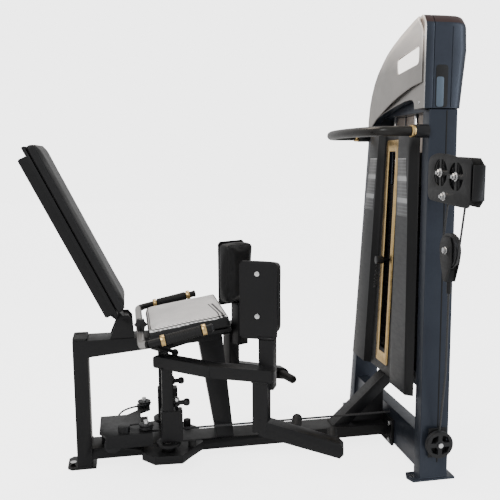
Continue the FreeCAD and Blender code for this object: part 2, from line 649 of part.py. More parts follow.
# ---------------------------------------------------------------- arms, one set for each side
pivot_x = size("pivot_x")
shaft_radius = size("shaft_radius")
shaft_bore = shaft_radius + size("run_gap")
node("arm_pivot_shafts", gather("arm_pivot_shafts", [
    rod("pivot_shaft_%d" % k, shaft_radius, 296, (pivot_x, side * size("pivot_y"), size("deck_high")))
    for k, side in enumerate((-1, 1))]))
node("arm_stop_bumpers", gather("arm_stop_bumpers", [
    rod("stop_bumper_%d" % k, 14, 22, (375, side * 96, size("deck_high")))
    for k, side in enumerate((-1, 1))]))


def build_arm(word, side):
    pivot = (pivot_x, side * size("pivot_y"))
    bend = (size("bend_x"), side * size("bend_y"))
    outer_turn = side * size("outer_turn")
    inner_turn = side * size("inner_turn")
    reach_latch = size("latch_radius")
    half_bar = size("bar_width") / 2

    def wing(along, across, z):
        """Point given along and inboard of the outer top bar."""
        inboard = -side * across
        return (bend[0] + along * cosine(outer_turn) - inboard * sine(outer_turn),
                bend[1] + along * sine(outer_turn) + inboard * cosine(outer_turn), z)

    # cam that the cable pulls: a collar and a disc with three latch holes, 20 degrees apart
    holes = [(0, 0, shaft_bore)]
    for step in (-20, 0, 20):
        holes.append((reach_latch * cosine(step), reach_latch * sine(step), 5.1))
    node(word + "_cam", join(word + "_cam", [
        prism(word + "_cam_disc", "XY", (0, 0, size("cam_radius")), 11, pivot + (97,), both=False,
              holes=holes),
        prism(word + "_cam_collar", "XY", (0, 0, 24), 22, pivot + (76,), both=False, holes=holes[:1])]))

    # welded arm: hub, latch housing, inner post, top bar, pad post, leg and foot bar
    hub_low = size("arm_low")
    hub_holes = [(0, 0, shaft_bore), (reach_latch, 0, 5.05)]
    pin_hole = rod(word + "_pad_pivot_hole", 10.05, 60, wing(size("post_along"), size("post_across"),
                                                           size("post_top") - 50))
    solids = [
        prism(word + "_hub", "XY", chamfered(-24, -21, 50, 21, 4), 110, pivot + (hub_low,), both=False,
              holes=hub_holes),
        prism(word + "_inner_post", "XY", chamfered(-19, -19, 19, 19, 3), size("bar_low") - 221,
              pivot + (221,), both=False, holes=hub_holes[:1]),
        prism(word + "_bar_inner", "XZ", chamfered(-40, 0, size("inner_length") + 10, 40, 5),
              size("bar_width"), pivot + (size("bar_low"),), turn=inner_turn),
        prism(word + "_bar_outer", "XZ", chamfered(-10, 0, size("outer_length"), 40, 5), size("bar_width"),
              bend + (size("bar_low"),), turn=outer_turn),
        prism(word + "_pad_post", "XY", chamfered(-half_bar, -half_bar, half_bar, half_bar, 3),
              size("post_top") - 335, wing(size("post_along"), size("post_across"), 335), turn=outer_turn,
              both=False),
        prism(word + "_leg", "XY", chamfered(-half_bar, -half_bar, half_bar, half_bar, 3),
              size("bar_low") + 5 - size("leg_low"), wing(size("leg_along"), 0, size("leg_low")),
              turn=outer_turn, both=False),
        prism(word + "_foot_bar", "XZ",
              [(-22, 250), (236, 182), (250, 168), (250, 146), (238, 132), (-22, 198)],
              size("bar_width"), (size("foot_bar_x"), side * size("foot_bar_y"), 0),
              turn=side * size("foot_bar_turn")),
    ]
    node(word + "_arm_frame", cut(word + "_arm_frame", join(word + "_arm_weldment", solids), [pin_hole]))

    # rubber foot pegs on the inner face of the foot bar
    peg_turn = side * size("foot_bar_turn")
    inboard = -side * (half_bar + size("peg_length") / 2)
    pegs = []
    for number, (along, z) in enumerate(((95, 204), (214, 164))):
        at = (size("foot_bar_x") + along * cosine(peg_turn) - inboard * sine(peg_turn),
              side * size("foot_bar_y") + along * sine(peg_turn) + inboard * cosine(peg_turn), 0)
        peg = prism("%s_peg_%d" % (word, number), "XZ", (0, z, size("peg_radius")), size("peg_length"), at,
                    turn=peg_turn)
        pegs.append(peg)
    node(word + "_foot_pegs", gather(word + "_foot_pegs", pegs))

    # spring pin, shown lifted clear of the cam so the arm can be set
    pin_x = pivot[0] + reach_latch
    node(word + "_pop_pin", join(word + "_pop_pin", [
        rod(word + "_pin_shank", 5, 136, (pin_x, pivot[1], 109.5)),
        rod(word + "_pin_collar", 11, 8, (pin_x, pivot[1], 236)),
        rod(word + "_pin_lever", 8, 36, (pin_x, pivot[1], 246), "X")]))

    # swivelling pad carrier, its bolts and the thigh pad
    carrier_at = wing(size("post_along"), size("post_across"), 0)
    plate_thick = size("pad_plate_thick")
    node(word + "_pad_carrier", join(word + "_pad_carrier", [
        prism(word + "_carrier_tab", "XY", chamfered(-30, -26, 26, 26, 5), 8, carrier_at[:2] + (502,),
              turn=outer_turn, both=False),
        prism(word + "_carrier_plate", "XZ", chamfered(-88, 502, 37, 757, 10), plate_thick,
              wing(size("post_along"), 31, 0), turn=outer_turn),
        rod(word + "_carrier_pin", 10, 34, carrier_at[:2] + (469,))]))
    node(word + "_pad_bolts", gather(word + "_pad_bolts", [
        prism("%s_pad_bolt_%d" % (word, k), "XZ", (-28, z, 8), 5, wing(size("post_along"), 25.5, 0),
              turn=outer_turn) for k, z in enumerate((578, 717))]))
    pad_outline = chamfered(-size("pad_length") / 2 - 27, size("pad_low"), size("pad_length") / 2 - 27,
                            size("pad_high"), 16)
    node(word + "_thigh_pad", prism(word + "_thigh_pad", "XZ", pad_outline, size("pad_thick"),
                                    wing(size("post_along"), 34 + size("pad_thick") / 2, 0), turn=outer_turn))


build_arm("right", -1)
build_arm("left", 1)

# ---------------------------------------------------------------- checks and export
doc.recompute()
for item in doc.Objects:
    if "Invalid" in item.State or "Error" in item.State:
        raise RuntimeError("broken object: %s" % item.Label)
for name, thing in nodes:
    shape = thing.Shape
    if shape.isNull() or not shape.isValid() or not shape.Solids:
        raise RuntimeError("bad shape: %s" % name)
    shape.exportStep("parts/%s.step" % name)
print("sub-parts:", len(nodes))
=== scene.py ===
import json
import math

import bmesh
import bpy
from mathutils import Matrix, Vector
from mathutils.bvhtree import BVHTree


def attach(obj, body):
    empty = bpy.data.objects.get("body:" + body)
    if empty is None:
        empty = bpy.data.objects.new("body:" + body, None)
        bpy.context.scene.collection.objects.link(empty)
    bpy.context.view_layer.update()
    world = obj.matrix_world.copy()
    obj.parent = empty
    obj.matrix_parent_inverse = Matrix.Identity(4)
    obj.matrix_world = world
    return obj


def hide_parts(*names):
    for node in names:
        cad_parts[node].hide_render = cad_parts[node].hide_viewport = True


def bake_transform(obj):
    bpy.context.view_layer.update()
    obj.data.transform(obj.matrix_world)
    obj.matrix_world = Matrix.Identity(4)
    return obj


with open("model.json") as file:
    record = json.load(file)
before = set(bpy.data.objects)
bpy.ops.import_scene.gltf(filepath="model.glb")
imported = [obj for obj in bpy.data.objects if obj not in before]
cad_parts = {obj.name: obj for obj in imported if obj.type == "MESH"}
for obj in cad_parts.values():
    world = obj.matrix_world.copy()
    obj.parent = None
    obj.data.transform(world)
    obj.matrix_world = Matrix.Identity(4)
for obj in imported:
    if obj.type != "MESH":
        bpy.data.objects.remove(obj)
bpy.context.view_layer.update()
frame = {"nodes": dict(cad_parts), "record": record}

# Metres. Origin under the rear post on the floor, +X from the seat to the tower, +Y the user's
# left (away from the camera), +Z up. The near side is the user's right.
SLOT_OF = {part["node"]: part["material_slot"] for part in frame["record"]["subparts"]}
SIDES = (("right", -1), ("left", 1))

PIVOT = (0.291, 0.115)          # arm pivot
BEND = (0.428, 0.235)           # corner of the arm's top bar
WING = math.radians(26.3)       # turn of the outer top bar
FOOT_BAR = (0.596, 0.317)
FOOT_TURN = math.radians(17.5)
RAIL_HALF = 0.275               # hand rail beside the seat
HANDLE_Y, HANDLE_Z = 0.268, 1.168
HOOD_HALF, HOOD_LOW = 0.272, 1.242
BACK_SET = 0.013                # the dressed hood stands this much behind the CAD hood
WHEEL_X = 1.137                 # plane of the cable beside the tower
INNER_WHEEL, OUTER_WHEEL, FLOAT_WHEEL = (-0.429, 1.036), (-0.526, 1.026), (-0.475, 0.802)
STACK_X = 1.192
CABLE = 0.0033                  # cable radius


# ---------------- materials
def new_material(name):
    made = bpy.data.materials.new(name)
    made.use_nodes = True
    tree = made.node_tree
    tree.nodes.clear()
    out = tree.nodes.new("ShaderNodeOutputMaterial")
    shader = tree.nodes.new("ShaderNodeBsdfPrincipled")
    tree.links.new(shader.outputs["BSDF"], out.inputs["Surface"])
    coords = tree.nodes.new("ShaderNodeTexCoord")
    return made, tree, shader, coords


def scaled_coords(tree, coords, stretch):
    mapping = tree.nodes.new("ShaderNodeMapping")
    mapping.inputs["Scale"].default_value = stretch
    tree.links.new(coords.outputs["Object"], mapping.inputs["Vector"])
    return mapping.outputs["Vector"]


def separate(tree, vector):
    made = tree.nodes.new("ShaderNodeSeparateXYZ")
    tree.links.new(vector, made.inputs["Vector"])
    return made.outputs


def noise(tree, vector, scale, detail, rough):
    made = tree.nodes.new("ShaderNodeTexNoise")
    made.inputs["Scale"].default_value = scale
    made.inputs["Detail"].default_value = detail
    made.inputs["Roughness"].default_value = rough
    tree.links.new(vector, made.inputs["Vector"])
    return made.outputs["Fac"]


def waves(tree, vector, direction, scale, distortion=0.0):
    made = tree.nodes.new("ShaderNodeTexWave")
    made.bands_direction = direction
    made.inputs["Scale"].default_value = scale
    made.inputs["Distortion"].default_value = distortion
    tree.links.new(vector, made.inputs["Vector"])
    return made.outputs["Fac"]


def ramp(tree, factor, stops):
    made = tree.nodes.new("ShaderNodeValToRGB")
    while len(made.color_ramp.elements) < len(stops):
        made.color_ramp.elements.new(0.5)
    for element, (place, color) in zip(made.color_ramp.elements, stops):
        element.position = place
        element.color = (*color, 1.0)
    tree.links.new(factor, made.inputs["Fac"])
    return made.outputs["Color"]


def remap(tree, factor, low, high, from_low=0.25, from_high=0.75):
    made = tree.nodes.new("ShaderNodeMapRange")
    made.inputs["From Min"].default_value = from_low
    made.inputs["From Max"].default_value = from_high
    made.inputs["To Min"].default_value = low
    made.inputs["To Max"].default_value = high
    tree.links.new(factor, made.inputs["Value"])
    return made.outputs["Result"]


def bump(tree, shader, height, strength, distance, after=None):
    made = tree.nodes.new("ShaderNodeBump")
    made.inputs["Strength"].default_value = strength
    made.inputs["Distance"].default_value = distance
    tree.links.new(height, made.inputs["Height"])
    if after is not None:
        tree.links.new(after, made.inputs["Normal"])
    tree.links.new(made.outputs["Normal"], shader.inputs["Normal"])
    return made.outputs["Normal"]


def mix_colors(tree, factor, one, two):
    made = tree.nodes.new("ShaderNodeMix")
    made.data_type = "RGBA"
    for socket, value in ((0, factor), (6, one), (7, two)):
        if isinstance(value, tuple):
            made.inputs[socket].default_value = (*value, 1.0)
        else:
            tree.links.new(value, made.inputs[socket])
    return made.outputs[2]


def tint(color, share):
    """Darker or lighter version of a colour."""
    return tuple(min(1.0, max(0.0, part * share)) for part in color)


def combine(tree, operation, one, two=None):
    """One arithmetic step on sockets or numbers."""
    made = tree.nodes.new("ShaderNodeMath")
    made.operation = operation
    for socket, value in enumerate((one, two)):
        if isinstance(value, float):
            made.inputs[socket].default_value = value
        elif value is not None:
            tree.links.new(value, made.inputs[socket])
    return made.outputs[0]


DUST_COLOR = (0.55, 0.54, 0.52)
SHROUD_SPAN = (0.27, 1.165)     # low and high edge of the shroud


def painted(name, color, rough, metallic, peel, coat, dust, flake=0.0, channel=None, shine=0.3):
    """Sprayed finish: orange-peel bump, handling marks in the gloss and a little dust on top faces.
    channel gives half the width of a dark band about the mid-plane, low and high on the shroud;
    with it, faces turned sideways get painted shade: they are darkened as if in shadow."""
    made, tree, shader, coords = new_material(name)
    at = coords.outputs["Object"]
    blotch = noise(tree, at, 5.0, 6.0, 0.6)
    body = ramp(tree, blotch, [(0.25, tint(color, 0.82)), (0.75, tint(color, 1.18))])
    normal = separate(tree, tree.nodes.new("ShaderNodeNewGeometry").outputs["Normal"])
    up = remap(tree, normal["Z"], 0.0, dust, 0.6, 1.0)
    specks = remap(tree, noise(tree, at, 160.0, 3.0, 0.7), 0.2, 1.0, 0.35, 0.7)
    body = mix_colors(tree, combine(tree, "MULTIPLY", up, specks), body, DUST_COLOR)
    if flake:
        sparkle = noise(tree, at, 2600.0, 2.0, 0.8)
        body = mix_colors(tree, remap(tree, sparkle, 0.0, flake, 0.5, 0.75), body, tint(color, 2.6))
    if channel is not None:
        spot = separate(tree, at)
        taper = remap(tree, spot["Z"], channel[0], channel[1], *SHROUD_SPAN)
        inside = combine(tree, "LESS_THAN", combine(tree, "ABSOLUTE", spot["Y"]), taper)
        body = mix_colors(tree, inside, body, tint(color, 0.16))
        # painted shade: faces turned toward the sides are darkened as if in shadow
        side_shade_mask = combine(tree, "ABSOLUTE", normal["Y"])
        body = mix_colors(tree, remap(tree, side_shade_mask, 0.0, 1.0, 0.3, 0.5), body, tint(color, 0.20))
    tree.links.new(body, shader.inputs["Base Color"])
    shader.inputs["Specular IOR Level"].default_value = shine
    marks = noise(tree, scaled_coords(tree, coords, (9.0, 9.0, 34.0)), 3.0, 8.0, 0.7)
    tree.links.new(remap(tree, marks, rough - 0.07, rough + 0.12), shader.inputs["Roughness"])
    shader.inputs["Metallic"].default_value = metallic
    shader.inputs["Coat Weight"].default_value = coat
    shader.inputs["Coat Roughness"].default_value = 0.28
    bump(tree, shader, noise(tree, at, 520.0, 2.0, 0.5), peel, 0.0006)
    return made


STRIPE_SWING = 420.0            # radians of stripe wave in a metre of X + Y
STRIPE_EDGE = (-0.162, -0.160)  # the stripes start between these, beside the near edge
STRIPE_DARK, STRIPE_PALE = (0.42, 0.41, 0.41), (0.92, 0.91, 0.90)
CORNER_LINES = ((0.222, 0.227), (0.233, 0.241))
LINE_TILT = 0.10


def leather(name, color, rough, grain=0.5, stripes=False):
    """Upholstery vinyl: cell grain, soft creases, worn gloss; optional printed slanting bands
    beside the near edge and at the front corner."""
    made, tree, shader, coords = new_material(name)
    at = coords.outputs["Object"]
    cells = tree.nodes.new("ShaderNodeTexVoronoi")
    cells.feature = "DISTANCE_TO_EDGE"
    cells.inputs["Scale"].default_value = 430.0
    tree.links.new(at, cells.inputs["Vector"])
    blotch = noise(tree, at, 7.0, 6.0, 0.65)
    body = ramp(tree, blotch, [(0.3, tint(color, 0.80)), (0.7, tint(color, 1.15))])
    crack = remap(tree, cells.outputs["Distance"], 0.0, 0.35, 0.10, 0.0)
    body = mix_colors(tree, crack, body, tint(color, 0.45))
    if stripes:
        spot = separate(tree, at)
        slant = combine(tree, "ADD", spot["X"], spot["Y"])
        wave = combine(tree, "SINE", combine(tree, "MULTIPLY", slant, STRIPE_SWING))
        band = remap(tree, wave, 0.0, 1.0, -0.15, 0.15)
        near = remap(tree, spot["Y"], 1.0, 0.0, *STRIPE_EDGE)
        body = mix_colors(tree, near, body, mix_colors(tree, band, STRIPE_DARK, STRIPE_PALE))
        tilt = combine(tree, "ADD", spot["X"], combine(tree, "MULTIPLY", spot["Y"], LINE_TILT))
        near_half = remap(tree, spot["Y"], 1.0, 0.0, -0.004, 0.0)
        for start, end in CORNER_LINES:
            line = combine(tree, "MULTIPLY", remap(tree, tilt, 0.0, 1.0, start, start + 0.001),
                           remap(tree, tilt, 1.0, 0.0, end, end + 0.001))
            line = combine(tree, "MULTIPLY", line, near_half)
            body = mix_colors(tree, line, body, (0.03, 0.03, 0.035))
    tree.links.new(body, shader.inputs["Base Color"])
    tree.links.new(remap(tree, blotch, rough - 0.08, rough + 0.12), shader.inputs["Roughness"])
    shader.inputs["Sheen Weight"].default_value = 0.03
    shader.inputs["Specular IOR Level"].default_value = 0.30
    fine = bump(tree, shader, cells.outputs["Distance"], grain, 0.0009)
    bump(tree, shader, noise(tree, at, 26.0, 5.0, 0.6), 0.22, 0.004, fine)
    return made


def plain_metal(name, color, rough, stretch=(1.0, 1.0, 1.0), lines=260.0, strength=0.12):
    """Bare or plated metal with fine drawn lines and cloudy gloss."""
    made, tree, shader, coords = new_material(name)
    drawn = noise(tree, scaled_coords(tree, coords, stretch), lines, 3.0, 0.6)
    cloud = noise(tree, coords.outputs["Object"], 38.0, 5.0, 0.6)
    tree.links.new(ramp(tree, cloud, [(0.3, tint(color, 0.78)), (0.7, tint(color, 1.1))]),
                   shader.inputs["Base Color"])
    tree.links.new(remap(tree, drawn, rough * 0.6, rough * 1.7), shader.inputs["Roughness"])
    shader.inputs["Metallic"].default_value = 1.0
    bump(tree, shader, drawn, strength, 0.0004)
    return made


def moulded(name, color, rough, texture, strength):
    """Rubber or moulded plastic: fine spark-eroded texture and chalky patches."""
    made, tree, shader, coords = new_material(name)
    at = coords.outputs["Object"]
    chalk = noise(tree, at, 22.0, 6.0, 0.7)
    tree.links.new(ramp(tree, chalk, [(0.3, tint(color, 0.75)), (0.72, tint(color, 1.5))]),
                   shader.inputs["Base Color"])
    tree.links.new(remap(tree, chalk, rough - 0.1, rough + 0.12), shader.inputs["Roughness"])
    shader.inputs["Specular IOR Level"].default_value = 0.30
    bump(tree, shader, noise(tree, at, texture, 2.0, 0.6), strength, 0.0005)
    return made


def placard_material(name):
    """Instruction panel reduced to plain bands and rules, with no lettering."""
    made, tree, shader, coords = new_material(name)
    at = coords.outputs["Object"]
    rules = remap(tree, waves(tree, at, "Z", 26.0), 0.0, 0.35, 0.55, 0.75)
    panels = remap(tree, waves(tree, at, "Z", 4.2), 0.0, 0.75, 0.86, 0.9)
    body = mix_colors(tree, rules, (0.085, 0.087, 0.090), (0.20, 0.205, 0.21))
    body = mix_colors(tree, panels, body, (0.38, 0.39, 0.40))
    tree.links.new(body, shader.inputs["Base Color"])
    scuff = noise(tree, at, 60.0, 5.0, 0.6)
    tree.links.new(remap(tree, scuff, 0.32, 0.5), shader.inputs["Roughness"])
    bump(tree, shader, scuff, 0.15, 0.0004)
    return made


def braid_material(name, color):
    """Twisted strands of a cable."""
    made, tree, shader, coords = new_material(name)
    strands = waves(tree, coords.outputs["Object"], "DIAGONAL", 160.0, 0.6)
    tree.links.new(ramp(tree, strands, [(0.2, tint(color, 0.6)), (0.8, tint(color, 1.6))]),
                   shader.inputs["Base Color"])
    tree.links.new(remap(tree, strands, 0.35, 0.55), shader.inputs["Roughness"])
    bump(tree, shader, strands, 0.6, 0.0008)
    return made


# colour, roughness, metal, peel, coat, dust and flake of the hood's champagne paint
CHAMPAGNE = ((0.33, 0.315, 0.30), 0.36, 0.8, 0.15, 0.2, 0.03, 0.12)
LOOK = {
    "frame_black": painted("frame_black", (0.0042, 0.0042, 0.0048), 0.40, 0.0, 0.35, 0.04, 0.02, shine=0.24),
    "tower_blue": painted("tower_blue", (0.026, 0.032, 0.045), 0.33, 0.5, 0.22, 0.12, 0.03, 0.06),
    "cover_grey": painted("cover_grey", *CHAMPAGNE),
    "shroud_grey": painted("shroud_grey", (0.040, 0.041, 0.043), 0.42, 0.4, 0.2, 0.08, 0.03, 0.05,
                           channel=(0.132, 0.092)),
    "gold_trim": plain_metal("gold_trim", (0.66, 0.46, 0.20), 0.26, (1.0, 1.0, 0.03), 420.0),
    "bright_rod": plain_metal("bright_rod", (0.80, 0.77, 0.74), 0.14, (1.0, 1.0, 0.05), 300.0),
    "bolt_steel": plain_metal("bolt_steel", (0.72, 0.72, 0.72), 0.22),
    "plate_iron": painted("plate_iron", (0.012, 0.012, 0.013), 0.55, 0.2, 0.6, 0.0, 0.08),
    "rubber_black": moulded("rubber_black", (0.005, 0.005, 0.005), 0.56, 700.0, 0.4),
    "knob_black": moulded("knob_black", (0.008, 0.008, 0.009), 0.34, 900.0, 0.2),
    "wheel_black": moulded("wheel_black", (0.009, 0.009, 0.010), 0.40, 600.0, 0.3),
    "label_grey": placard_material("label_grey"),
    "pad_leather": leather("pad_leather", (0.0050, 0.0050, 0.0056), 0.42),
    "seat_leather": leather("seat_leather", (0.72, 0.705, 0.70), 0.45, 0.35, stripes=True),
    "cable_black": braid_material("cable_black", (0.016, 0.016, 0.017)),
}


def finish_in(thing, finish):
    thing.data.materials.clear()
    thing.data.materials.append(finish)
    return thing


def dress(thing, finish, body):
    """Give a finished piece a finish of its own and let it ride its body."""
    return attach(finish_in(thing, finish), body)


def wear(thing, slot_name, body):
    """Give a finished piece the finish of its slot and let it ride its body."""
    return dress(thing, LOOK[slot_name], body)


# ---------------- dressed CAD nodes
FINE_EDGE, EDGE, WIDE_EDGE = 0.0003, 0.0012, 0.0032
FINE = {"guide_rods", "selector_stem", "arm_pivot_shafts", "drive_cable", "placards", "hood_screws"}
WIDE = {"base_frame", "tower_frame", "right_arm_frame", "left_arm_frame", "backrest_frame"}
for node, thing in frame["nodes"].items():
    thing.data.materials.clear()
    thing.data.materials.append(LOOK[SLOT_OF[node]])
    for face in thing.data.polygons:
        face.use_smooth = True
    weld = thing.modifiers.new("weld", "WELD")
    weld.merge_threshold = 0.00002
    edge = thing.modifiers.new("soft_edges", "BEVEL")
    edge.width = FINE_EDGE if node in FINE else WIDE_EDGE if node in WIDE else EDGE
    edge.segments = 3 if node in WIDE else 2
    edge.limit_method = "ANGLE"
    edge.angle_limit = math.radians(38)
    edge.harden_normals = True


# ---------------- mesh helpers
def keep(name, form, placing=None):
    """Object made from an edited mesh."""
    mesh = bpy.data.meshes.new(name)
    form.to_mesh(mesh)
    form.free()
    made = bpy.data.objects.new(name, mesh)
    bpy.context.collection.objects.link(made)
    if placing is not None:
        made.matrix_world = placing
    return made


def settle(thing):
    """Turn modifiers or a curve into a plain mesh."""
    bpy.context.view_layer.update()
    graph = bpy.context.evaluated_depsgraph_get()
    mesh = bpy.data.meshes.new_from_object(thing.evaluated_get(graph))
    if thing.type == "MESH":
        thing.modifiers.clear()
        thing.data = mesh
        return thing
    name, placing = thing.name, thing.matrix_world.copy()
    bpy.data.objects.remove(thing)
    made = bpy.data.objects.new(name, mesh)
    bpy.context.collection.objects.link(made)
    made.name = name
    made.matrix_world = placing
    return made


def smooth(thing, angle):
    """Shade smoothly across edges flatter than an angle."""
    for face in thing.data.polygons:
        face.use_smooth = True
    thing.data.set_sharp_from_angle(angle=math.radians(angle))
    return thing


def tube(name, points, radius, kind="POLY", cyclic=False, sides=6):
    """Round tube along points; NURBS passes smoothly near them."""
    curve = bpy.data.curves.new(name, "CURVE")
    curve.dimensions = "3D"
    curve.bevel_depth = radius
    curve.bevel_resolution = sides
    curve.use_fill_caps = not cyclic
    curve.resolution_u = 14
    line = curve.splines.new(kind)
    line.points.add(len(points) - 1)
    for knot, point in zip(line.points, points):
        knot.co = (*point, 1.0)
    line.use_cyclic_u = cyclic
    if kind == "NURBS":
        line.order_u = 4
        line.use_endpoint_u = not cyclic
    made = bpy.data.objects.new(name, curve)
    bpy.context.collection.objects.link(made)
    return smooth(settle(made), 60)


def lathe(name, profile, placing, steps=40):
    """Closed solid of revolution about local Z from (radius, height) pairs."""
    form = bmesh.new()
    rings = []
    for radius, height in profile:
        if radius < 1e-6:
            rings.append([form.verts.new((0, 0, height))])
            continue
        rings.append([form.verts.new((radius * math.cos(2 * math.pi * k / steps),
                                      radius * math.sin(2 * math.pi * k / steps), height))
                      for k in range(steps)])
    for low, high in zip(rings, rings[1:]):
        for k in range(steps):
            after = (k + 1) % steps
            if len(low) == 1:
                form.faces.new((low[0], high[after], high[k]))
            elif len(high) == 1:
                form.faces.new((low[k], low[after], high[0]))
            else:
                form.faces.new((low[k], low[after], high[after], high[k]))
    if len(rings[0]) > 1:
        form.faces.new(list(reversed(rings[0])))
    if len(rings[-1]) > 1:
        form.faces.new(rings[-1])
    bmesh.ops.recalc_face_normals(form, faces=form.faces)
    return smooth(keep(name, form, placing), 50)


def sheet(name, outlines, thick, placing, edge=0.002):
    """Flat plate with rounded edges from closed outlines in local XY; inner outlines are windows."""
    curve = bpy.data.curves.new(name, "CURVE")
    curve.dimensions = "2D"
    curve.fill_mode = "BOTH"
    curve.extrude = thick / 2 - edge
    curve.bevel_depth = edge
    curve.bevel_resolution = 3
    curve.offset = -edge
    curve.resolution_u = 10
    for points in outlines:
        line = curve.splines.new("POLY")
        line.points.add(len(points) - 1)
        for knot, point in zip(line.points, points):
            knot.co = (point[0], point[1], 0, 1)
        line.use_cyclic_u = True
    made = bpy.data.objects.new(name, curve)
    bpy.context.collection.objects.link(made)
    made.matrix_world = placing
    made = settle(made)
    seal = bmesh.new()
    seal.from_mesh(made.data)
    bmesh.ops.remove_doubles(seal, verts=seal.verts, dist=1e-5)
    bmesh.ops.recalc_face_normals(seal, faces=seal.faces)
    seal.to_mesh(made.data)
    seal.free()
    return smooth(made, 32)


def rounded(points, radius, steps=5):
    """Outline with its corners rounded."""
    made = []
    count = len(points)
    for k in range(count):
        before, here, after = (Vector(points[(k + j) % count]) for j in (-1, 0, 1))
        to_before, to_after = (before - here), (after - here)
        reach = min(radius, to_before.length * 0.45, to_after.length * 0.45)
        start = here + to_before.normalized() * reach
        end = here + to_after.normalized() * reach
        for j in range(steps + 1):
            share = j / steps
            made.append(tuple((1 - share) ** 2 * start + 2 * share * (1 - share) * here + share ** 2 * end))
    return made


def yz_plane(x):
    """Local X to +Y, local Y to +Z, local Z to +X."""
    return Matrix.Translation((x, 0, 0)) @ Matrix(((0, 0, 1, 0), (1, 0, 0, 0), (0, 1, 0, 0), (0, 0, 0, 1)))


def turned(at, degrees, axis):
    return Matrix.Translation(at) @ Matrix.Rotation(math.radians(degrees), 4, axis)


# ---------------- cushions
def soft_block(name, outline, half_wide, placing, round_off, cell=0.005):
    """Rounded block: a closed XZ outline padded across Y, then remeshed into even cloth."""
    form = bmesh.new()
    near = [form.verts.new((x, -half_wide, z)) for x, z in outline]
    far = [form.verts.new((x, half_wide, z)) for x, z in outline]
    form.faces.new(near)
    form.faces.new(list(reversed(far)))
    for k in range(len(outline)):
        after = (k + 1) % len(outline)
        form.faces.new((near[after], near[k], far[k], far[after]))
    bmesh.ops.recalc_face_normals(form, faces=form.faces)
    bmesh.ops.bevel(form, geom=form.edges[:], offset=round_off, segments=4, profile=0.6, affect="EDGES")
    made = keep(name, form, placing)
    remesh = made.modifiers.new("even", "REMESH")
    remesh.mode = "VOXEL"
    remesh.voxel_size = cell
    return settle(made)


CLOTH_STEPS = 20


def inflate(thing, held, cap):
    """Press the cover out from inside with the held vertices fixed to the board; no point moves
    farther than the cap."""
    mesh = thing.data
    before = [vertex.co.copy() for vertex in mesh.vertices]
    group = thing.vertex_groups.new(name="held")
    group.add([vertex.index for vertex in mesh.vertices if held(vertex.co)], 1.0, "REPLACE")
    cloth = thing.modifiers.new("cover", "CLOTH")
    cloth.settings.vertex_group_mass = "held"
    cloth.settings.use_pressure = True
    cloth.settings.uniform_pressure_force = 4.0
    cloth.settings.effector_weights.gravity = 0.0
    cloth.settings.quality = 5
    cloth.settings.tension_stiffness = 12
    cloth.settings.compression_stiffness = 12
    cloth.settings.bending_stiffness = 0.8
    cloth.collision_settings.use_collision = False
    cloth.point_cache.frame_start = 1
    cloth.point_cache.frame_end = CLOTH_STEPS
    scene = bpy.context.scene
    for step in range(1, CLOTH_STEPS + 1):
        scene.frame_set(step)
        bpy.context.view_layer.update()
    graph = bpy.context.evaluated_depsgraph_get()
    result = [vertex.co.copy() for vertex in thing.evaluated_get(graph).data.vertices]
    thing.modifiers.remove(cloth)
    scene.frame_set(1)
    for vertex, start, end in zip(mesh.vertices, before, result):
        move = end - start
        if move.length > cap:
            move = move * (cap / move.length)
        vertex.co = start + move
    return thing


def finish_cushion(thing, slot_name, body, node, side_slot=None, is_top=None):
    """Smooth a pressed cushion, finish it, let it ride its body and hide the CAD node it takes the place of;
    the faces that aren't its top may take another finish."""
    relax = thing.modifiers.new("relax", "CORRECTIVE_SMOOTH")
    relax.iterations = 6
    relax.use_only_smooth = True
    finer = thing.modifiers.new("finer", "SUBSURF")
    finer.levels = 1
    finer.render_levels = 1
    settle(thing)
    for face in thing.data.polygons:
        face.use_smooth = True
    wear(thing, slot_name, body)
    if side_slot is not None:
        thing.data.materials.append(LOOK[side_slot])
        for face in thing.data.polygons:
            face.material_index = 0 if is_top(face) else 1
    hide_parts(node)


def seam(name, cushion, points, body, slot_name, radius=0.0016):
    """Welt cord laid on the cushion: local points are drawn onto its surface."""
    tree = BVHTree.FromPolygons([vertex.co for vertex in cushion.data.vertices],
                                [list(face.vertices) for face in cushion.data.polygons])
    laid = [tree.find_nearest(Vector(point))[0] for point in points]
    cord = tube(name, laid, radius, cyclic=True, sides=3)
    cord.matrix_world = cushion.matrix_world.copy()
    return wear(cord, slot_name, body)


def loop_points(a0, a1, b0, b1, corner):
    """Rounded rectangle as closely set (a, b) pairs."""
    made = []
    for ca, cb, start in ((a1 - corner, b1 - corner, 0), (a0 + corner, b1 - corner, 90),
                          (a0 + corner, b0 + corner, 180), (a1 - corner, b0 + corner, 270)):
        for j in range(7):
            angle = math.radians(start + 15 * j)
            made.append((ca + corner * math.cos(angle), cb + corner * math.sin(angle)))
    close = []
    for one, two in zip(made, made[1:] + made[:1]):
        cuts = max(1, int(math.dist(one, two) / 0.012))
        for j in range(cuts):
            share = j / cuts
            close.append((one[0] + (two[0] - one[0]) * share, one[1] + (two[1] - one[1]) * share))
    return close


def beside(start, turn, along, across, height, side):
    """Point along and inboard of a bar that starts at a place and is turned about Z."""
    x = start[0] + along * math.cos(turn) + across * math.sin(turn)
    y = start[1] + along * math.sin(turn) - across * math.cos(turn)
    return Vector((x, side * y, height))


def wing_at(along, across, height, side):
    return beside(BEND, WING, along, across, height, side)


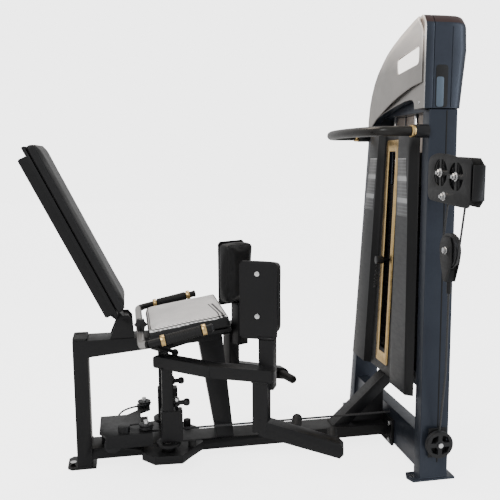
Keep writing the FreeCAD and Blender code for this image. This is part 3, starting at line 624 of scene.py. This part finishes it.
for word, side in SIDES:
    centre = wing_at(0.153, 0.066, 0.634, side)
    spot = turned(centre, math.degrees(WING) * side, "Z")
    pad = soft_block(word + "_thigh_cushion",
                     [(-0.065, -0.116), (0.065, -0.116), (0.065, 0.116), (-0.065, 0.116)], 0.032, spot, 0.017)
    inflate(pad, lambda co, s=side: co.y * s > 0.024, 0.007)
    finish_cushion(pad, "pad_leather", word + "_pad", word + "_thigh_pad")
    ring = loop_points(-0.060, 0.060, -0.111, 0.111, 0.02)
    for tag, level in (("a", 0.021), ("b", -0.021)):
        seam("%s_thigh_welt_%s" % (word, tag), pad, [(a, level, b) for a, b in ring], word + "_pad",
             "pad_leather", 0.0013)

back_spot = turned((0.155, 0, 0.525), -26, "Y")
back = soft_block("backrest_cushion", [(0.0, 0.049), (0.033, 0.049), (0.033, 0.668), (0.0, 0.668)],
                  0.125, back_spot, 0.013)
inflate(back, lambda co: co.x < 0.011, 0.005)
finish_cushion(back, "pad_leather", "backrest", "backrest_pad")
ring = loop_points(0.053, 0.664, -0.121, 0.121, 0.025)
seam("backrest_welt", back, [(0.031, b, a) for a, b in ring], "backrest", "pad_leather")

seat_spot = turned((0.234, 0, 0.474), -6.4, "Y")
seat = soft_block("seat_cushion", [(-0.003, 0.014), (0.279, 0.014), (0.279, 0.062), (-0.003, 0.049)], 0.183,
                  seat_spot, 0.013, 0.006)
inflate(seat, lambda co: co.z < 0.024, 0.006)
finish_cushion(seat, "seat_leather", "seat", "seat_pad", "pad_leather",
               lambda face: face.normal.z > 0.55 and face.center.z > 0.035)
ring = loop_points(0.004, 0.271, -0.175, 0.175, 0.02)
seam("seat_welt", seat, [(a, b, 0.055 + 0.046 * a) for a, b in ring], "seat", "pad_leather")


# ---------------- pegs, grips and handle
def ribbed(length, radius, ribs, depth, nose):
    """Profile of a sleeve with shallow ribs and rounded ends."""
    made = [(0, 0), (radius - nose, 0), (radius - nose * 0.3, nose * 0.3), (radius, nose)]
    span = length - 2 * nose
    for k in range(ribs):
        start = nose + span * k / ribs
        pitch = span / ribs
        made += [(radius, start + pitch * 0.15), (radius - depth, start + pitch * 0.30),
                 (radius - depth, start + pitch * 0.70), (radius, start + pitch * 0.85)]
    return made + [(radius, length - nose), (radius - nose * 0.3, length - nose * 0.3),
                   (radius - nose, length), (0, length)]


for word, side in SIDES:
    for number, (along, height) in enumerate(((0.095, 0.204), (0.214, 0.164))):
        root = beside(FOOT_BAR, FOOT_TURN, along, 0.0252, height, side)
        inward = Vector((math.sin(FOOT_TURN), -side * math.cos(FOOT_TURN), 0))
        aim = inward.to_track_quat("Z", "Y").to_matrix().to_4x4()
        peg = lathe("%s_peg_sleeve_%d" % (word, number), ribbed(0.100, 0.017, 9, 0.0010, 0.008),
                    Matrix.Translation(root) @ aim)
        wear(peg, "rubber_black", word + "_arm")
        if number == 0:
            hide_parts(word + "_foot_pegs")

RAIL = turned((0.205, 0, 0.500), -12.1, "Y")
for word, side in SIDES:
    grip = lathe(word + "_seat_grip", ribbed(0.116, 0.0172, 14, 0.0009, 0.004),
                 RAIL @ turned((0.078, side * RAIL_HALF, 0), 90, "Y"))
    wear(grip, "rubber_black", "frame")
    if side < 0:
        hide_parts("seat_handle_grips")
    cap = lathe(word + "_rail_cap", [(0, 0), (0.0135, 0), (0.0135, 0.004), (0.010, 0.008), (0, 0.009)],
                RAIL @ turned((0.2258, side * RAIL_HALF, 0), 90, "Y"))
    wear(cap, "knob_black", "frame")
    bend = [(0.016, 0.273), (0.006, 0.268), (0.001, 0.257), (0.0, 0.235), (0.0, 0.150), (0.0, 0.046)]
    sleeve = tube(word + "_rail_sleeve", [tuple(RAIL @ Vector((x, side * y, 0))) for x, y in bend], 0.0128)
    rail_grey = painted(word + "_rail_grey", (0.30, 0.29, 0.28), 0.34, 0.5, 0.2, 0.2, 0.02)
    dress(sleeve, rail_grey, "frame")

half_bow = [(1.1515, HANDLE_Y), (1.085, HANDLE_Y), (1.040, HANDLE_Y), (1.008, 0.262), (0.982, 0.236),
            (0.960, 0.17), (0.945, 0.08)]
bow = [(x, -y) for x, y in half_bow] + [(0.941, 0.0)] + half_bow[::-1]
handle = tube("assist_bow", [(x, y, HANDLE_Z) for x, y in bow], 0.0165, "NURBS", sides=8)
handle_grip = moulded("handle_grip", (0.010, 0.009, 0.008), 0.30, 700.0, 0.35)
dress(handle, handle_grip, "frame")
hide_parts("assist_handle")

# ---------------- hood
def taller(points):
    """Stretch the upper part of an outline upward from the hood's lower edge."""
    return [(y, HOOD_LOW + (z - HOOD_LOW) * 1.03 if z > 1.30 else z) for y, z in points]


ROOF = taller([(-HOOD_HALF, 1.496), (-0.270, 1.506), (-0.256, 1.526), (-0.246, 1.531), (-0.200, 1.524),
               (-0.150, 1.510), (-0.100, 1.494), (-0.050, 1.474), (0.0, 1.450), (0.050, 1.422),
               (0.095, 1.393), (0.135, 1.360), (0.170, 1.320)])
cover = ([(-HOOD_HALF, HOOD_LOW)] + ROOF
         + [(0.192, 1.285), (0.205, 1.245), (0.213, 1.205), (0.216, 1.172), (0.199, 1.172), (0.190, 1.196),
            (0.168, 1.216), (0.130, 1.231), (0.070, 1.246), (0.0, 1.258), (-0.06, 1.267), (-0.12, 1.274),
            (-0.165, 1.276), (-0.186, 1.272), (-0.197, 1.262), (-0.201, HOOD_LOW)])
window = rounded([(-0.247, 1.448), (-0.247, 1.382), (-0.088, 1.363), (-0.080, 1.424)], 0.016)
face = sheet("hood_face", [cover, window], 0.030, yz_plane(1.137 + BACK_SET), 0.004)
wear(face, "tower_blue", "frame")
hood_brown = painted("hood_brown", (0.045, 0.022, 0.020), 0.36, 0.4, 0.2, 0.2, 0.02)
face.data.materials.append(hood_brown)
for patch in face.data.polygons:
    patch.material_index = 1 if (face.matrix_world.to_3x3() @ patch.normal).z > 0.30 else 0
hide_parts("hood_cover")
lip = sheet("hood_lip", [cover, window], 0.0045, yz_plane(1.1205 + BACK_SET), 0.002)
brow = taller([(-0.262, 1.322), (-0.20, 1.314), (-0.12, 1.298), (-0.04, 1.276), (0.05, 1.248),
               (0.12, 1.226), (0.165, 1.205), (0.188, 1.184), (0.197, 1.172), (0.214, 1.172),
               (0.209, 1.226), (0.193, 1.278), (0.169, 1.316), (0.134, 1.357), (0.095, 1.390),
               (0.05, 1.419), (0.0, 1.447), (-0.05, 1.471), (-0.10, 1.491), (-0.15, 1.507),
               (-0.20, 1.521), (-0.238, 1.527), (-0.246, 1.523), (-0.260, 1.502), (-0.262, 1.494)])


def champagne_painted_highlight(name):
    """The hood's paint with a painted highlight: paler toward the roof, standing in for the light on its
    upper part; local Y of an upright plate is height.
    """
    made = painted(name, *CHAMPAGNE)
    tree = made.node_tree
    shader = tree.nodes["Principled BSDF"]
    coords = [item for item in tree.nodes if item.type == "TEX_COORD"][0]
    paint = shader.inputs["Base Color"].links[0].from_socket
    # painted highlight: the paint blends to a near-white cream between two heights
    share = remap(tree, separate(tree, coords.outputs["Object"])["Y"], 0.0, 0.92, 1.385, 1.49)
    tree.links.new(mix_colors(tree, share, paint, (0.98, 0.91, 0.85)), shader.inputs["Base Color"])
    return made


LONGEST_EDGE = 0.013
SWELL_MIDDLE, SWELL_HALF = (-0.03, 1.352), (0.245, 0.20)
CREST_AT, CREST_FALL, CREST_HALF = (0.015, 1.4175), 0.370, 0.034
CREST_SLANT = 1.066             # length of the fall line for one metre across
FADE_START, FADE_SPAN = 0.045, 0.08


def swell(thing, depth, crest=0.0):
    """Bow a plate out toward the seat after cutting it into small faces, with an optional crest
    that follows the roof's slope and fades out to the left."""
    form = bmesh.new()
    form.from_mesh(thing.data)
    bmesh.ops.triangulate(form, faces=form.faces[:])
    for _ in range(6):
        long_edges = [edge for edge in form.edges if edge.calc_length() > LONGEST_EDGE]
        if not long_edges:
            break
        bmesh.ops.subdivide_edges(form, edges=long_edges, cuts=1)
        bmesh.ops.triangulate(form, faces=form.faces[:])
    form.to_mesh(thing.data)
    form.free()
    for vertex in thing.data.vertices:
        across = (vertex.co.x - SWELL_MIDDLE[0]) / SWELL_HALF[0]
        upward = (vertex.co.y - SWELL_MIDDLE[1]) / SWELL_HALF[1]
        vertex.co.z -= depth * max(0.0, 1 - across * across) * max(0.0, 1 - upward * upward)
        off = (vertex.co.y - CREST_AT[1] + CREST_FALL * (vertex.co.x - CREST_AT[0])) / CREST_SLANT
        fade = min(1.0, max(0.0, (FADE_START - vertex.co.x) / FADE_SPAN))
        vertex.co.z -= crest * fade * max(0.0, 1 - abs(off) / CREST_HALF)
    return smooth(thing, 32)


opening = rounded([(-0.243, 1.444), (-0.243, 1.386), (-0.092, 1.367), (-0.084, 1.420)], 0.014)
shield = sheet("hood_shield", [brow, opening], 0.006, yz_plane(1.1160 + BACK_SET), 0.0025)
swell(shield, 0.012, 0.011)
# the shield and lip take the champagne paint with a painted highlight toward the roof
for part in (shield, lip):
    dress(part, champagne_painted_highlight(part.name + "_painted_highlight"), "frame")
backing = rounded([(-0.244, 1.443), (-0.244, 1.385), (-0.091, 1.366), (-0.083, 1.416)], 0.01)
glass = sheet("hood_window_back", [backing], 0.0024, yz_plane(1.1185 + BACK_SET), 0.0008)
swell(glass, 0.012)
# painted highlight: the cream backing of the window glows, brighter than the lamps alone would light it
cream = painted("window_cream", (0.95, 0.91, 0.86), 0.5, 0.0, 0.1, 0.0, 0.0)
glow = cream.node_tree.nodes["Principled BSDF"]
glow.inputs["Emission Color"].default_value = (1.0, 0.95, 0.90, 1.0)
glow.inputs["Emission Strength"].default_value = 1.7
dress(glass, cream, "frame")

# hood body: the outline at stations (x, inset) from the front face to the rounded back, whose
# depth grows up to the shoulder and shrinks above it
FRONT, DEPTH, SHOULDER = 1.152, 0.1115, 1.46
stations = [(FRONT, 0.0), (1.200, 0.0), (1.236, 0.001), (1.252, 0.005), (1.260, 0.011),
            (FRONT + DEPTH, 0.020)]
outline = ([(-HOOD_HALF, HOOD_LOW), (-HOOD_HALF, 1.330), (-HOOD_HALF, 1.430)] + ROOF
           + [(0.200, 1.312), (0.235, 1.296), (0.262, 1.286), (HOOD_HALF, 1.274), (HOOD_HALF, HOOD_LOW)])
form = bmesh.new()
rings = []
for x, inset in stations:
    ring = []
    share = (x - FRONT) / DEPTH
    for y, z in outline:
        pull = Vector((-y, 1.30 - z)).normalized() * inset
        rise = (z - HOOD_LOW) / (SHOULDER - HOOD_LOW)
        shift = -0.009 + 0.020 * rise if rise < 1 else 0.011 - 0.16 * (z - SHOULDER)
        ring.append(form.verts.new((x + BACK_SET + share * shift, y + pull.x,
                                    z + pull.y if z > HOOD_LOW else z)))
    rings.append(ring)
for front, rear in zip(rings, rings[1:]):
    for k in range(len(front) - 1):
        form.faces.new((front[k], front[k + 1], rear[k + 1], rear[k]))
form.faces.new(rings[-1])
bmesh.ops.recalc_face_normals(form, faces=form.faces)
hood = keep("hood_body", form)
wall = hood.modifiers.new("wall", "SOLIDIFY")
wall.thickness = 0.004
wall.offset = -1.0
settle(hood)
wear(hood, "tower_blue", "frame")
hood.data.materials.append(hood_brown)
for patch in hood.data.polygons:
    patch.material_index = 1 if patch.normal.z > 0.30 else 0
smooth(hood, 35)
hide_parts("hood_shell")


def side_plane(y):
    """Local X to +X, local Y to +Z, local Z to -Y."""
    return Matrix.Translation((0, y, 0)) @ Matrix(((1, 0, 0, 0), (0, 0, -1, 0), (0, 1, 0, 0), (0, 0, 0, 1)))


# painted shade: a thin dark sheet in the side arch stands in for the shade of the recess round the pane
arch = rounded([(1.172, 1.244), (1.172, 1.380), (1.214, 1.380), (1.214, 1.244)], 0.012)
inset = sheet("hood_side_arch_shade", [arch], 0.0016, side_plane(-0.2725), 0.0006)
wear(inset, "rubber_black", "frame")
pane = rounded([(1.1745, 1.246), (1.1745, 1.342), (1.200, 1.342), (1.200, 1.246)], 0.008)
inner = sheet("hood_side_pane", [pane], 0.0024, side_plane(-0.2730), 0.0008)
pane_blue = painted("pane_blue", (0.085, 0.115, 0.150), 0.30, 0.4, 0.2, 0.2, 0.0)
dress(inner, pane_blue, "frame")
ridge = tube("hood_side_ridge", [(1.228, -0.2722, 1.246), (1.228, -0.2722, 1.30), (1.229, -0.2722, 1.50)],
             0.0018, sides=3)
wear(ridge, "tower_blue", "frame")

panel = sheet("tower_inner_panel", [[(-0.205, 1.100), (0.205, 1.100), (0.205, 1.247), (-0.205, 1.247)]],
              0.003, yz_plane(1.2375), 0.001)
# painted light: the champagne panel gets a much paler colour to make up for the shade it sits in inside the
# tower
inner_panel = painted("inner_panel", (0.86, 0.74, 0.66), 0.5, 0.0, 0.2, 0.0, 0.0)
dress(panel, inner_panel, "frame")

screw_profile = [(0, 0), (0.0045, 0), (0.0045, 0.0014), (0.0034, 0.0024), (0.0016, 0.0024),
                 (0.0013, 0.0012), (0, 0.0012)]
for index, (y, z) in enumerate(((-0.238, 1.262), (0.196, 1.226), (-0.262, 1.470))):
    screw = lathe("hood_screw_head_%d" % index, screw_profile, turned((1.1184 + BACK_SET, y, z), -90, "Y"))
    wear(screw, "bolt_steel", "frame")
    if index == 0:
        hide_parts("hood_screws")

# handle ends: a champagne ring and a dark sleeve on each side
for word, side in SIDES:
    spot = turned((1.090, side * HANDLE_Y, HANDLE_Z), 90, "Y")
    ring = lathe(word + "_handle_ring", [(0.0168, 0), (0.0195, 0), (0.0205, 0.002), (0.0205, 0.012),
                                         (0.0195, 0.014), (0.0168, 0.014)], spot)
    wear(ring, "gold_trim", "frame")
    sleeve = lathe(word + "_handle_sleeve", [(0.0168, 0.0142), (0.021, 0.0142), (0.0218, 0.016),
                                             (0.0218, 0.060), (0.0168, 0.060)], spot)
    wear(sleeve, "knob_black", "frame")
    if side < 0:
        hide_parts("handle_collars")

# ---------------- upper wheel plate
def spokes(centre, inner=0.015, outer=0.0425, half_gap=35):
    """Four fan-shaped windows round a wheel centre."""
    made = []
    for middle in (45, 135, 225, 315):
        fan = []
        for radius, swing in ((inner, -0.62), (outer, -1.0), (outer, -0.5), (outer, 0.0), (outer, 0.5),
                              (outer, 1.0), (inner, 0.62)):
            angle = math.radians(middle + half_gap * swing)
            fan.append((centre[0] + radius * math.cos(angle), centre[1] + radius * math.sin(angle)))
        made.append(rounded(fan, 0.004, 3))
    return made


plate = rounded([(-0.345, 0.950), (-0.560, 0.938), (-0.612, 0.938), (-0.612, 1.078), (-0.575, 1.078),
                 (-0.545, 1.082), (-0.500, 1.088), (-0.470, 1.092), (-0.400, 1.096), (-0.345, 1.082)],
                0.03, 8)
front_plate = sheet("upper_wheel_plate", [plate] + spokes(INNER_WHEEL) + spokes(OUTER_WHEEL), 0.004,
                    yz_plane(1.1215), 0.0012)
wear(front_plate, "frame_black", "frame")
rim = tube("upper_plate_flange", [(1.139, -0.618, 0.958), (1.139, -0.618, 1.060)], 0.0035)
wear(rim, "frame_black", "frame")
for index, (y, z) in enumerate((INNER_WHEEL, OUTER_WHEEL, (-0.455, 0.965))):
    aim = turned((1.1195, y, z), -90, "Y")
    washer = lathe("wheel_washer_%d" % index,
                   [(0, 0), (0.0135, 0), (0.0135, 0.0018), (0.012, 0.0024), (0, 0.0024)], aim)
    wear(washer, "bolt_steel", "frame")
    head = lathe("wheel_nut_%d" % index, [(0, 0.0024), (0.0105, 0.0024), (0.0105, 0.0085), (0.0085, 0.0098),
                                          (0.0055, 0.0098), (0.0055, 0.0145), (0, 0.0152)], aim, steps=6)
    wear(smooth(head, 20), "bolt_steel", "frame")
head = lathe("float_nut", [(0, 0), (0.0125, 0), (0.0125, 0.002), (0.0100, 0.002), (0.0100, 0.008),
                           (0.0050, 0.009), (0, 0.009)], turned((1.1215, *FLOAT_WHEEL), -90, "Y"), steps=6)
wear(smooth(head, 20), "bolt_steel", "float_block")

# ---------------- cables
def dense(points, step=0.012):
    """The same line with points closer than a step."""
    made = []
    for one, two in zip(points, points[1:]):
        one, two = Vector(one), Vector(two)
        cuts = max(1, int((two - one).length / step))
        made += [one + (two - one) * (j / cuts) for j in range(cuts)]
    return made + [Vector(points[-1])]


def over_wheel(centre, radius, start, end, steps=16):
    """Arc of cable round a wheel beside the tower, between two angles in degrees."""
    angles = [math.radians(start + (end - start) * j / steps) for j in range(steps + 1)]
    return [(WHEEL_X, centre[0] + radius * math.cos(angle), centre[1] + radius * math.sin(angle))
            for angle in angles]


def hang(name, points):
    """Cable run through the given points, with its placing baked into the mesh."""
    run = tube(name, dense(points), CABLE, sides=3)
    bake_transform(finish_in(run, LOOK["cable_black"]))


over = tube("upper_cable", over_wheel(OUTER_WHEEL, 0.0465, 180, 90) + over_wheel(INNER_WHEEL, 0.0465, 90, 0)
            + [(WHEEL_X, -0.3825, 1.00), (WHEEL_X, -0.36, 0.97)], CABLE, sides=3)
wear(over, "cable_black", "frame")
FLOAT_Y, FLOAT_Z = FLOAT_WHEEL
for tag, y_top, y_low, top in (("outer", -0.5725, -0.5275, 1.026), ("inner", -0.455, -0.4225, 0.965)):
    hang("float_cable_" + tag, [(WHEEL_X, y_top, top), (WHEEL_X, y_low, FLOAT_Z)])
under = tube("float_cable_under", over_wheel(FLOAT_WHEEL, 0.0525, 180, 360), CABLE, sides=3)
wear(under, "cable_black", "float_block")
hang("float_down_cable", [(WHEEL_X, FLOAT_Y, 0.672), (1.160, -0.43, 0.40), (1.172, -0.379, 0.184)])
hang("stack_cable", [(STACK_X, 0, 1.016), (STACK_X, 0, 1.232)])
for word, side in SIDES:
    lead = tube(word + "_cam_cable", [(0.239, side * 0.112, 0.169), (0.232, side * 0.092, 0.169),
                                      (0.205, side * 0.086, 0.169), (0.150, side * 0.080, 0.165),
                                      (0.118, side * 0.070, 0.150), (0.112, side * 0.066, 0.124)],
                CABLE, "NURBS", sides=3)
    wear(lead, "cable_black", "frame")

drive = tube("drive_cable_cover", dense([(0.238, -0.062, 0.1285), (1.130, -0.062, 0.1285)], 0.05), 0.0038,
             sides=4)
wear(drive, "cable_black", "frame")
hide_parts("drive_cable")

# spring lanyard of the selector pin: a coil that hangs in a bow
COIL_TURNS, COIL_POINTS, COIL_RADIUS = 14, 150, 0.005
coil = []
for k in range(COIL_POINTS):
    share = k / (COIL_POINTS - 1)
    angle = share * 2 * math.pi * COIL_TURNS
    coil.append((1.092 - 0.012 * math.sin(share * math.pi) + COIL_RADIUS * math.cos(angle),
                 -0.004 - 0.020 * share + COIL_RADIUS * math.sin(angle),
                 0.688 - 0.085 * math.sin(share * math.pi * 0.9)))
lanyard = tube("pin_lanyard", coil, 0.0011, sides=2)
wear(lanyard, "knob_black", "stack_pin")

# ---------------- welds, caps and small hardware
def bead(name, points, body, radius=0.0026, cyclic=True):
    """Weld bead: a rope of overlapping ripples along a joint."""
    line = dense(points + ([points[0]] if cyclic else []), 0.0035)
    made = tube(name, line[:-1] if cyclic else line, radius, cyclic=cyclic, sides=3)
    for number, vertex in enumerate(made.data.vertices):
        vertex.co += vertex.normal * 0.0006 * math.sin(number / 10.0 * 2.1)
    return wear(made, "frame_black", body)


def ring_of(x0, x1, y0, y1):
    """Corners of a rectangle, in order."""
    return [(x0, y0), (x1, y0), (x1, y1), (x0, y1)]


BEAM_TOP = 0.0765
for name, corners, height in (("post_foot", ring_of(-0.0255, 0.0255, -0.0505, 0.0505), 0.0085),
                              ("strut_foot", ring_of(0.4725, 0.5310, -0.0405, 0.0405), BEAM_TOP),
                              ("brace_foot", ring_of(0.914, 0.976, -0.0305, 0.0305), BEAM_TOP)):
    bead(name + "_bead", [(x, y, height) for x, y in corners], "frame")
bead("post_beam_bead", [(0.0255, y, z) for z, y in ring_of(0.0345, BEAM_TOP, -0.0505, 0.0505)], "frame")
BAR_UNDERSIDE = 0.3745
LEG_ALONG = 0.172
PLUG_CORNER = 0.004
for word, side in SIDES:
    body = word + "_arm"
    pivot_y = side * PIVOT[1]
    corners = [wing_at(LEG_ALONG + along, across, BAR_UNDERSIDE, side)
               for along, across in ring_of(-0.0255, 0.0255, -0.0255, 0.0255)]
    bead(word + "_leg_bead", corners, body)
    hub = [(PIVOT[0] + x, pivot_y + y, 0.2225)
           for x, y in ((0.012, -0.0195), (-0.0195, -0.0195), (-0.0195, 0.0195), (0.012, 0.0195))]
    bead(word + "_hub_bead", hub, body, cyclic=False)
    neck = [(PIVOT[0] + x, pivot_y + y, BAR_UNDERSIDE)
            for x, y in ring_of(-0.0195, 0.0195, -0.0195, 0.0195)]
    bead(word + "_neck_bead", neck, body)
    # moulded plugs in the open tube ends
    turn = Matrix.Rotation(side * WING, 4, "Z")
    aim = Matrix.Translation(wing_at(0.214, 0.0, 0.395, side)) @ turn @ yz_plane(0)
    end = rounded(ring_of(-0.019, 0.019, -0.014, 0.014), PLUG_CORNER)
    wear(sheet(word + "_bar_plug", [end], 0.004, aim, 0.0015), "knob_black", body)
    aim = Matrix.Translation(wing_at(LEG_ALONG, 0.0, 0.205, side)) @ turn
    end = rounded(ring_of(-0.021, 0.021, -0.021, 0.021), PLUG_CORNER)
    wear(sheet(word + "_leg_plug", [end], 0.005, aim, 0.0015), "knob_black", body)
    # knob and crown of the spring pin
    ball = lathe(word + "_pin_ball", [(0, -0.013), (0.007, -0.0115), (0.0115, -0.007), (0.0135, 0.0),
                                      (0.0125, 0.006), (0.009, 0.011), (0, 0.013)],
                 turned((0.356, pivot_y, 0.246), 90, "Y"))
    wear(ball, "knob_black", word + "_pin")
    crown = lathe(word + "_pin_crown", [(0, 0), (0.009, 0), (0.010, 0.004), (0.0085, 0.010), (0.004, 0.013),
                                        (0, 0.0135)], Matrix.Translation((0.322, pivot_y, 0.2535)))
    wear(crown, "bolt_steel", word + "_pin")

washer_profile = ring_of(0.0056, 0.011, 0.0082, 0.0098)
for index, (x, y) in enumerate(((-0.043, 0.0), (1.097, -0.335), (1.097, 0.335))):
    washer = lathe("anchor_washer_%d" % index, washer_profile, Matrix.Translation((x, y, 0)))
    wear(washer, "bolt_steel", "frame")

# ---------------- tower grooves: dark strips laid in as painted shade of the grooves
for word, side in SIDES:
    ends = [(1.178, side * 0.3553, 0.060), (1.216, side * 0.2695, 1.235)]
    groove_shade = tube(word + "_upright_groove", dense(ends, 0.05), 0.0022, sides=2)
    wear(groove_shade, "rubber_black", "frame")

# ---------------- stage
# strengths that the camera sees; the piece is lit by the plain ones
FLOOR_SHOWN = 3.3
WORLD_LIGHT, WORLD_SHOWN = 0.85, 4.0


def stage_material(name, color, rough):
    """Pale floor that glows to the camera but not onto the object."""
    made, tree, shader, coords = new_material(name)
    cloud = noise(tree, coords.outputs["Object"], 1.2, 4.0, 0.5)
    tree.links.new(ramp(tree, cloud, [(0.2, tint(color, 0.985)), (0.8, color)]), shader.inputs["Base Color"])
    tree.links.new(remap(tree, cloud, rough - 0.03, rough + 0.03), shader.inputs["Roughness"])
    shader.inputs["Emission Color"].default_value = (1.0, 1.0, 1.0, 1.0)
    ray_kind = tree.nodes.new("ShaderNodeLightPath")
    tree.links.new(remap(tree, ray_kind.outputs["Is Camera Ray"], 0.0, FLOOR_SHOWN, 0.0, 1.0),
                   shader.inputs["Emission Strength"])
    return made


bpy.ops.mesh.primitive_plane_add(size=30, location=(0.6, 0, -0.0006))
floor = bpy.context.object
floor.name = "studio_floor"
floor.data.materials.append(stage_material("studio_floor", (0.93, 0.93, 0.93), 0.75))

world = bpy.data.worlds.new("studio")
bpy.context.scene.world = world
world.use_nodes = True
back_light = world.node_tree.nodes["Background"]
back_light.inputs["Color"].default_value = (1.0, 1.0, 1.0, 1.0)
ray = world.node_tree.nodes.new("ShaderNodeLightPath")
shown = remap(world.node_tree, ray.outputs["Is Camera Ray"], WORLD_LIGHT, WORLD_SHOWN, 0.0, 1.0)
world.node_tree.links.new(shown, back_light.inputs["Strength"])


def lamp(name, place, aim, width, height, watts, color=(1, 1, 1)):
    light = bpy.data.lights.new(name, "AREA")
    light.shape = "RECTANGLE"
    light.size = width
    light.size_y = height
    light.energy = watts
    light.color = color
    made = bpy.data.objects.new(name, light)
    bpy.context.collection.objects.link(made)
    look = (Vector(aim) - Vector(place)).to_track_quat("-Z", "Y")
    made.matrix_world = Matrix.Translation(place) @ look.to_matrix().to_4x4()


lamp("key", (-1.8, -2.6, 3.2), (0.6, 0, 0.7), 1.6, 1.6, 70)
lamp("rim", (3.2, -1.8, 1.8), (1.2, -0.2, 0.9), 0.5, 2.2, 30, (0.86, 0.92, 1.0))
lamp("warm_top", (0.2, 0.9, 2.9), (1.12, -0.05, 1.4), 0.9, 0.9, 22, (1.0, 0.86, 0.72))

# ---------------- camera
CAMERA_AT, LENS, SENSOR = (0.171, -2.319, 1.083), 47.53, 36.0
YAW, PITCH, ROLL = math.radians(10.62), math.radians(7.9), math.radians(-0.377)
forward = Vector((math.sin(YAW) * math.cos(PITCH), math.cos(YAW) * math.cos(PITCH), -math.sin(PITCH)))
level = Vector((math.cos(YAW), -math.sin(YAW), 0))
above = level.cross(forward)
right_axis = level * math.cos(ROLL) + above * math.sin(ROLL)
up_axis = above * math.cos(ROLL) - level * math.sin(ROLL)
camera_data = bpy.data.cameras.new("camera")
camera_data.sensor_width = SENSOR
camera_data.lens = LENS
camera = bpy.data.objects.new("camera", camera_data)
bpy.context.collection.objects.link(camera)
rotation = Matrix((right_axis, up_axis, -forward)).transposed().to_4x4()
camera.matrix_world = Matrix.Translation(CAMERA_AT) @ rotation
bpy.context.scene.camera = camera
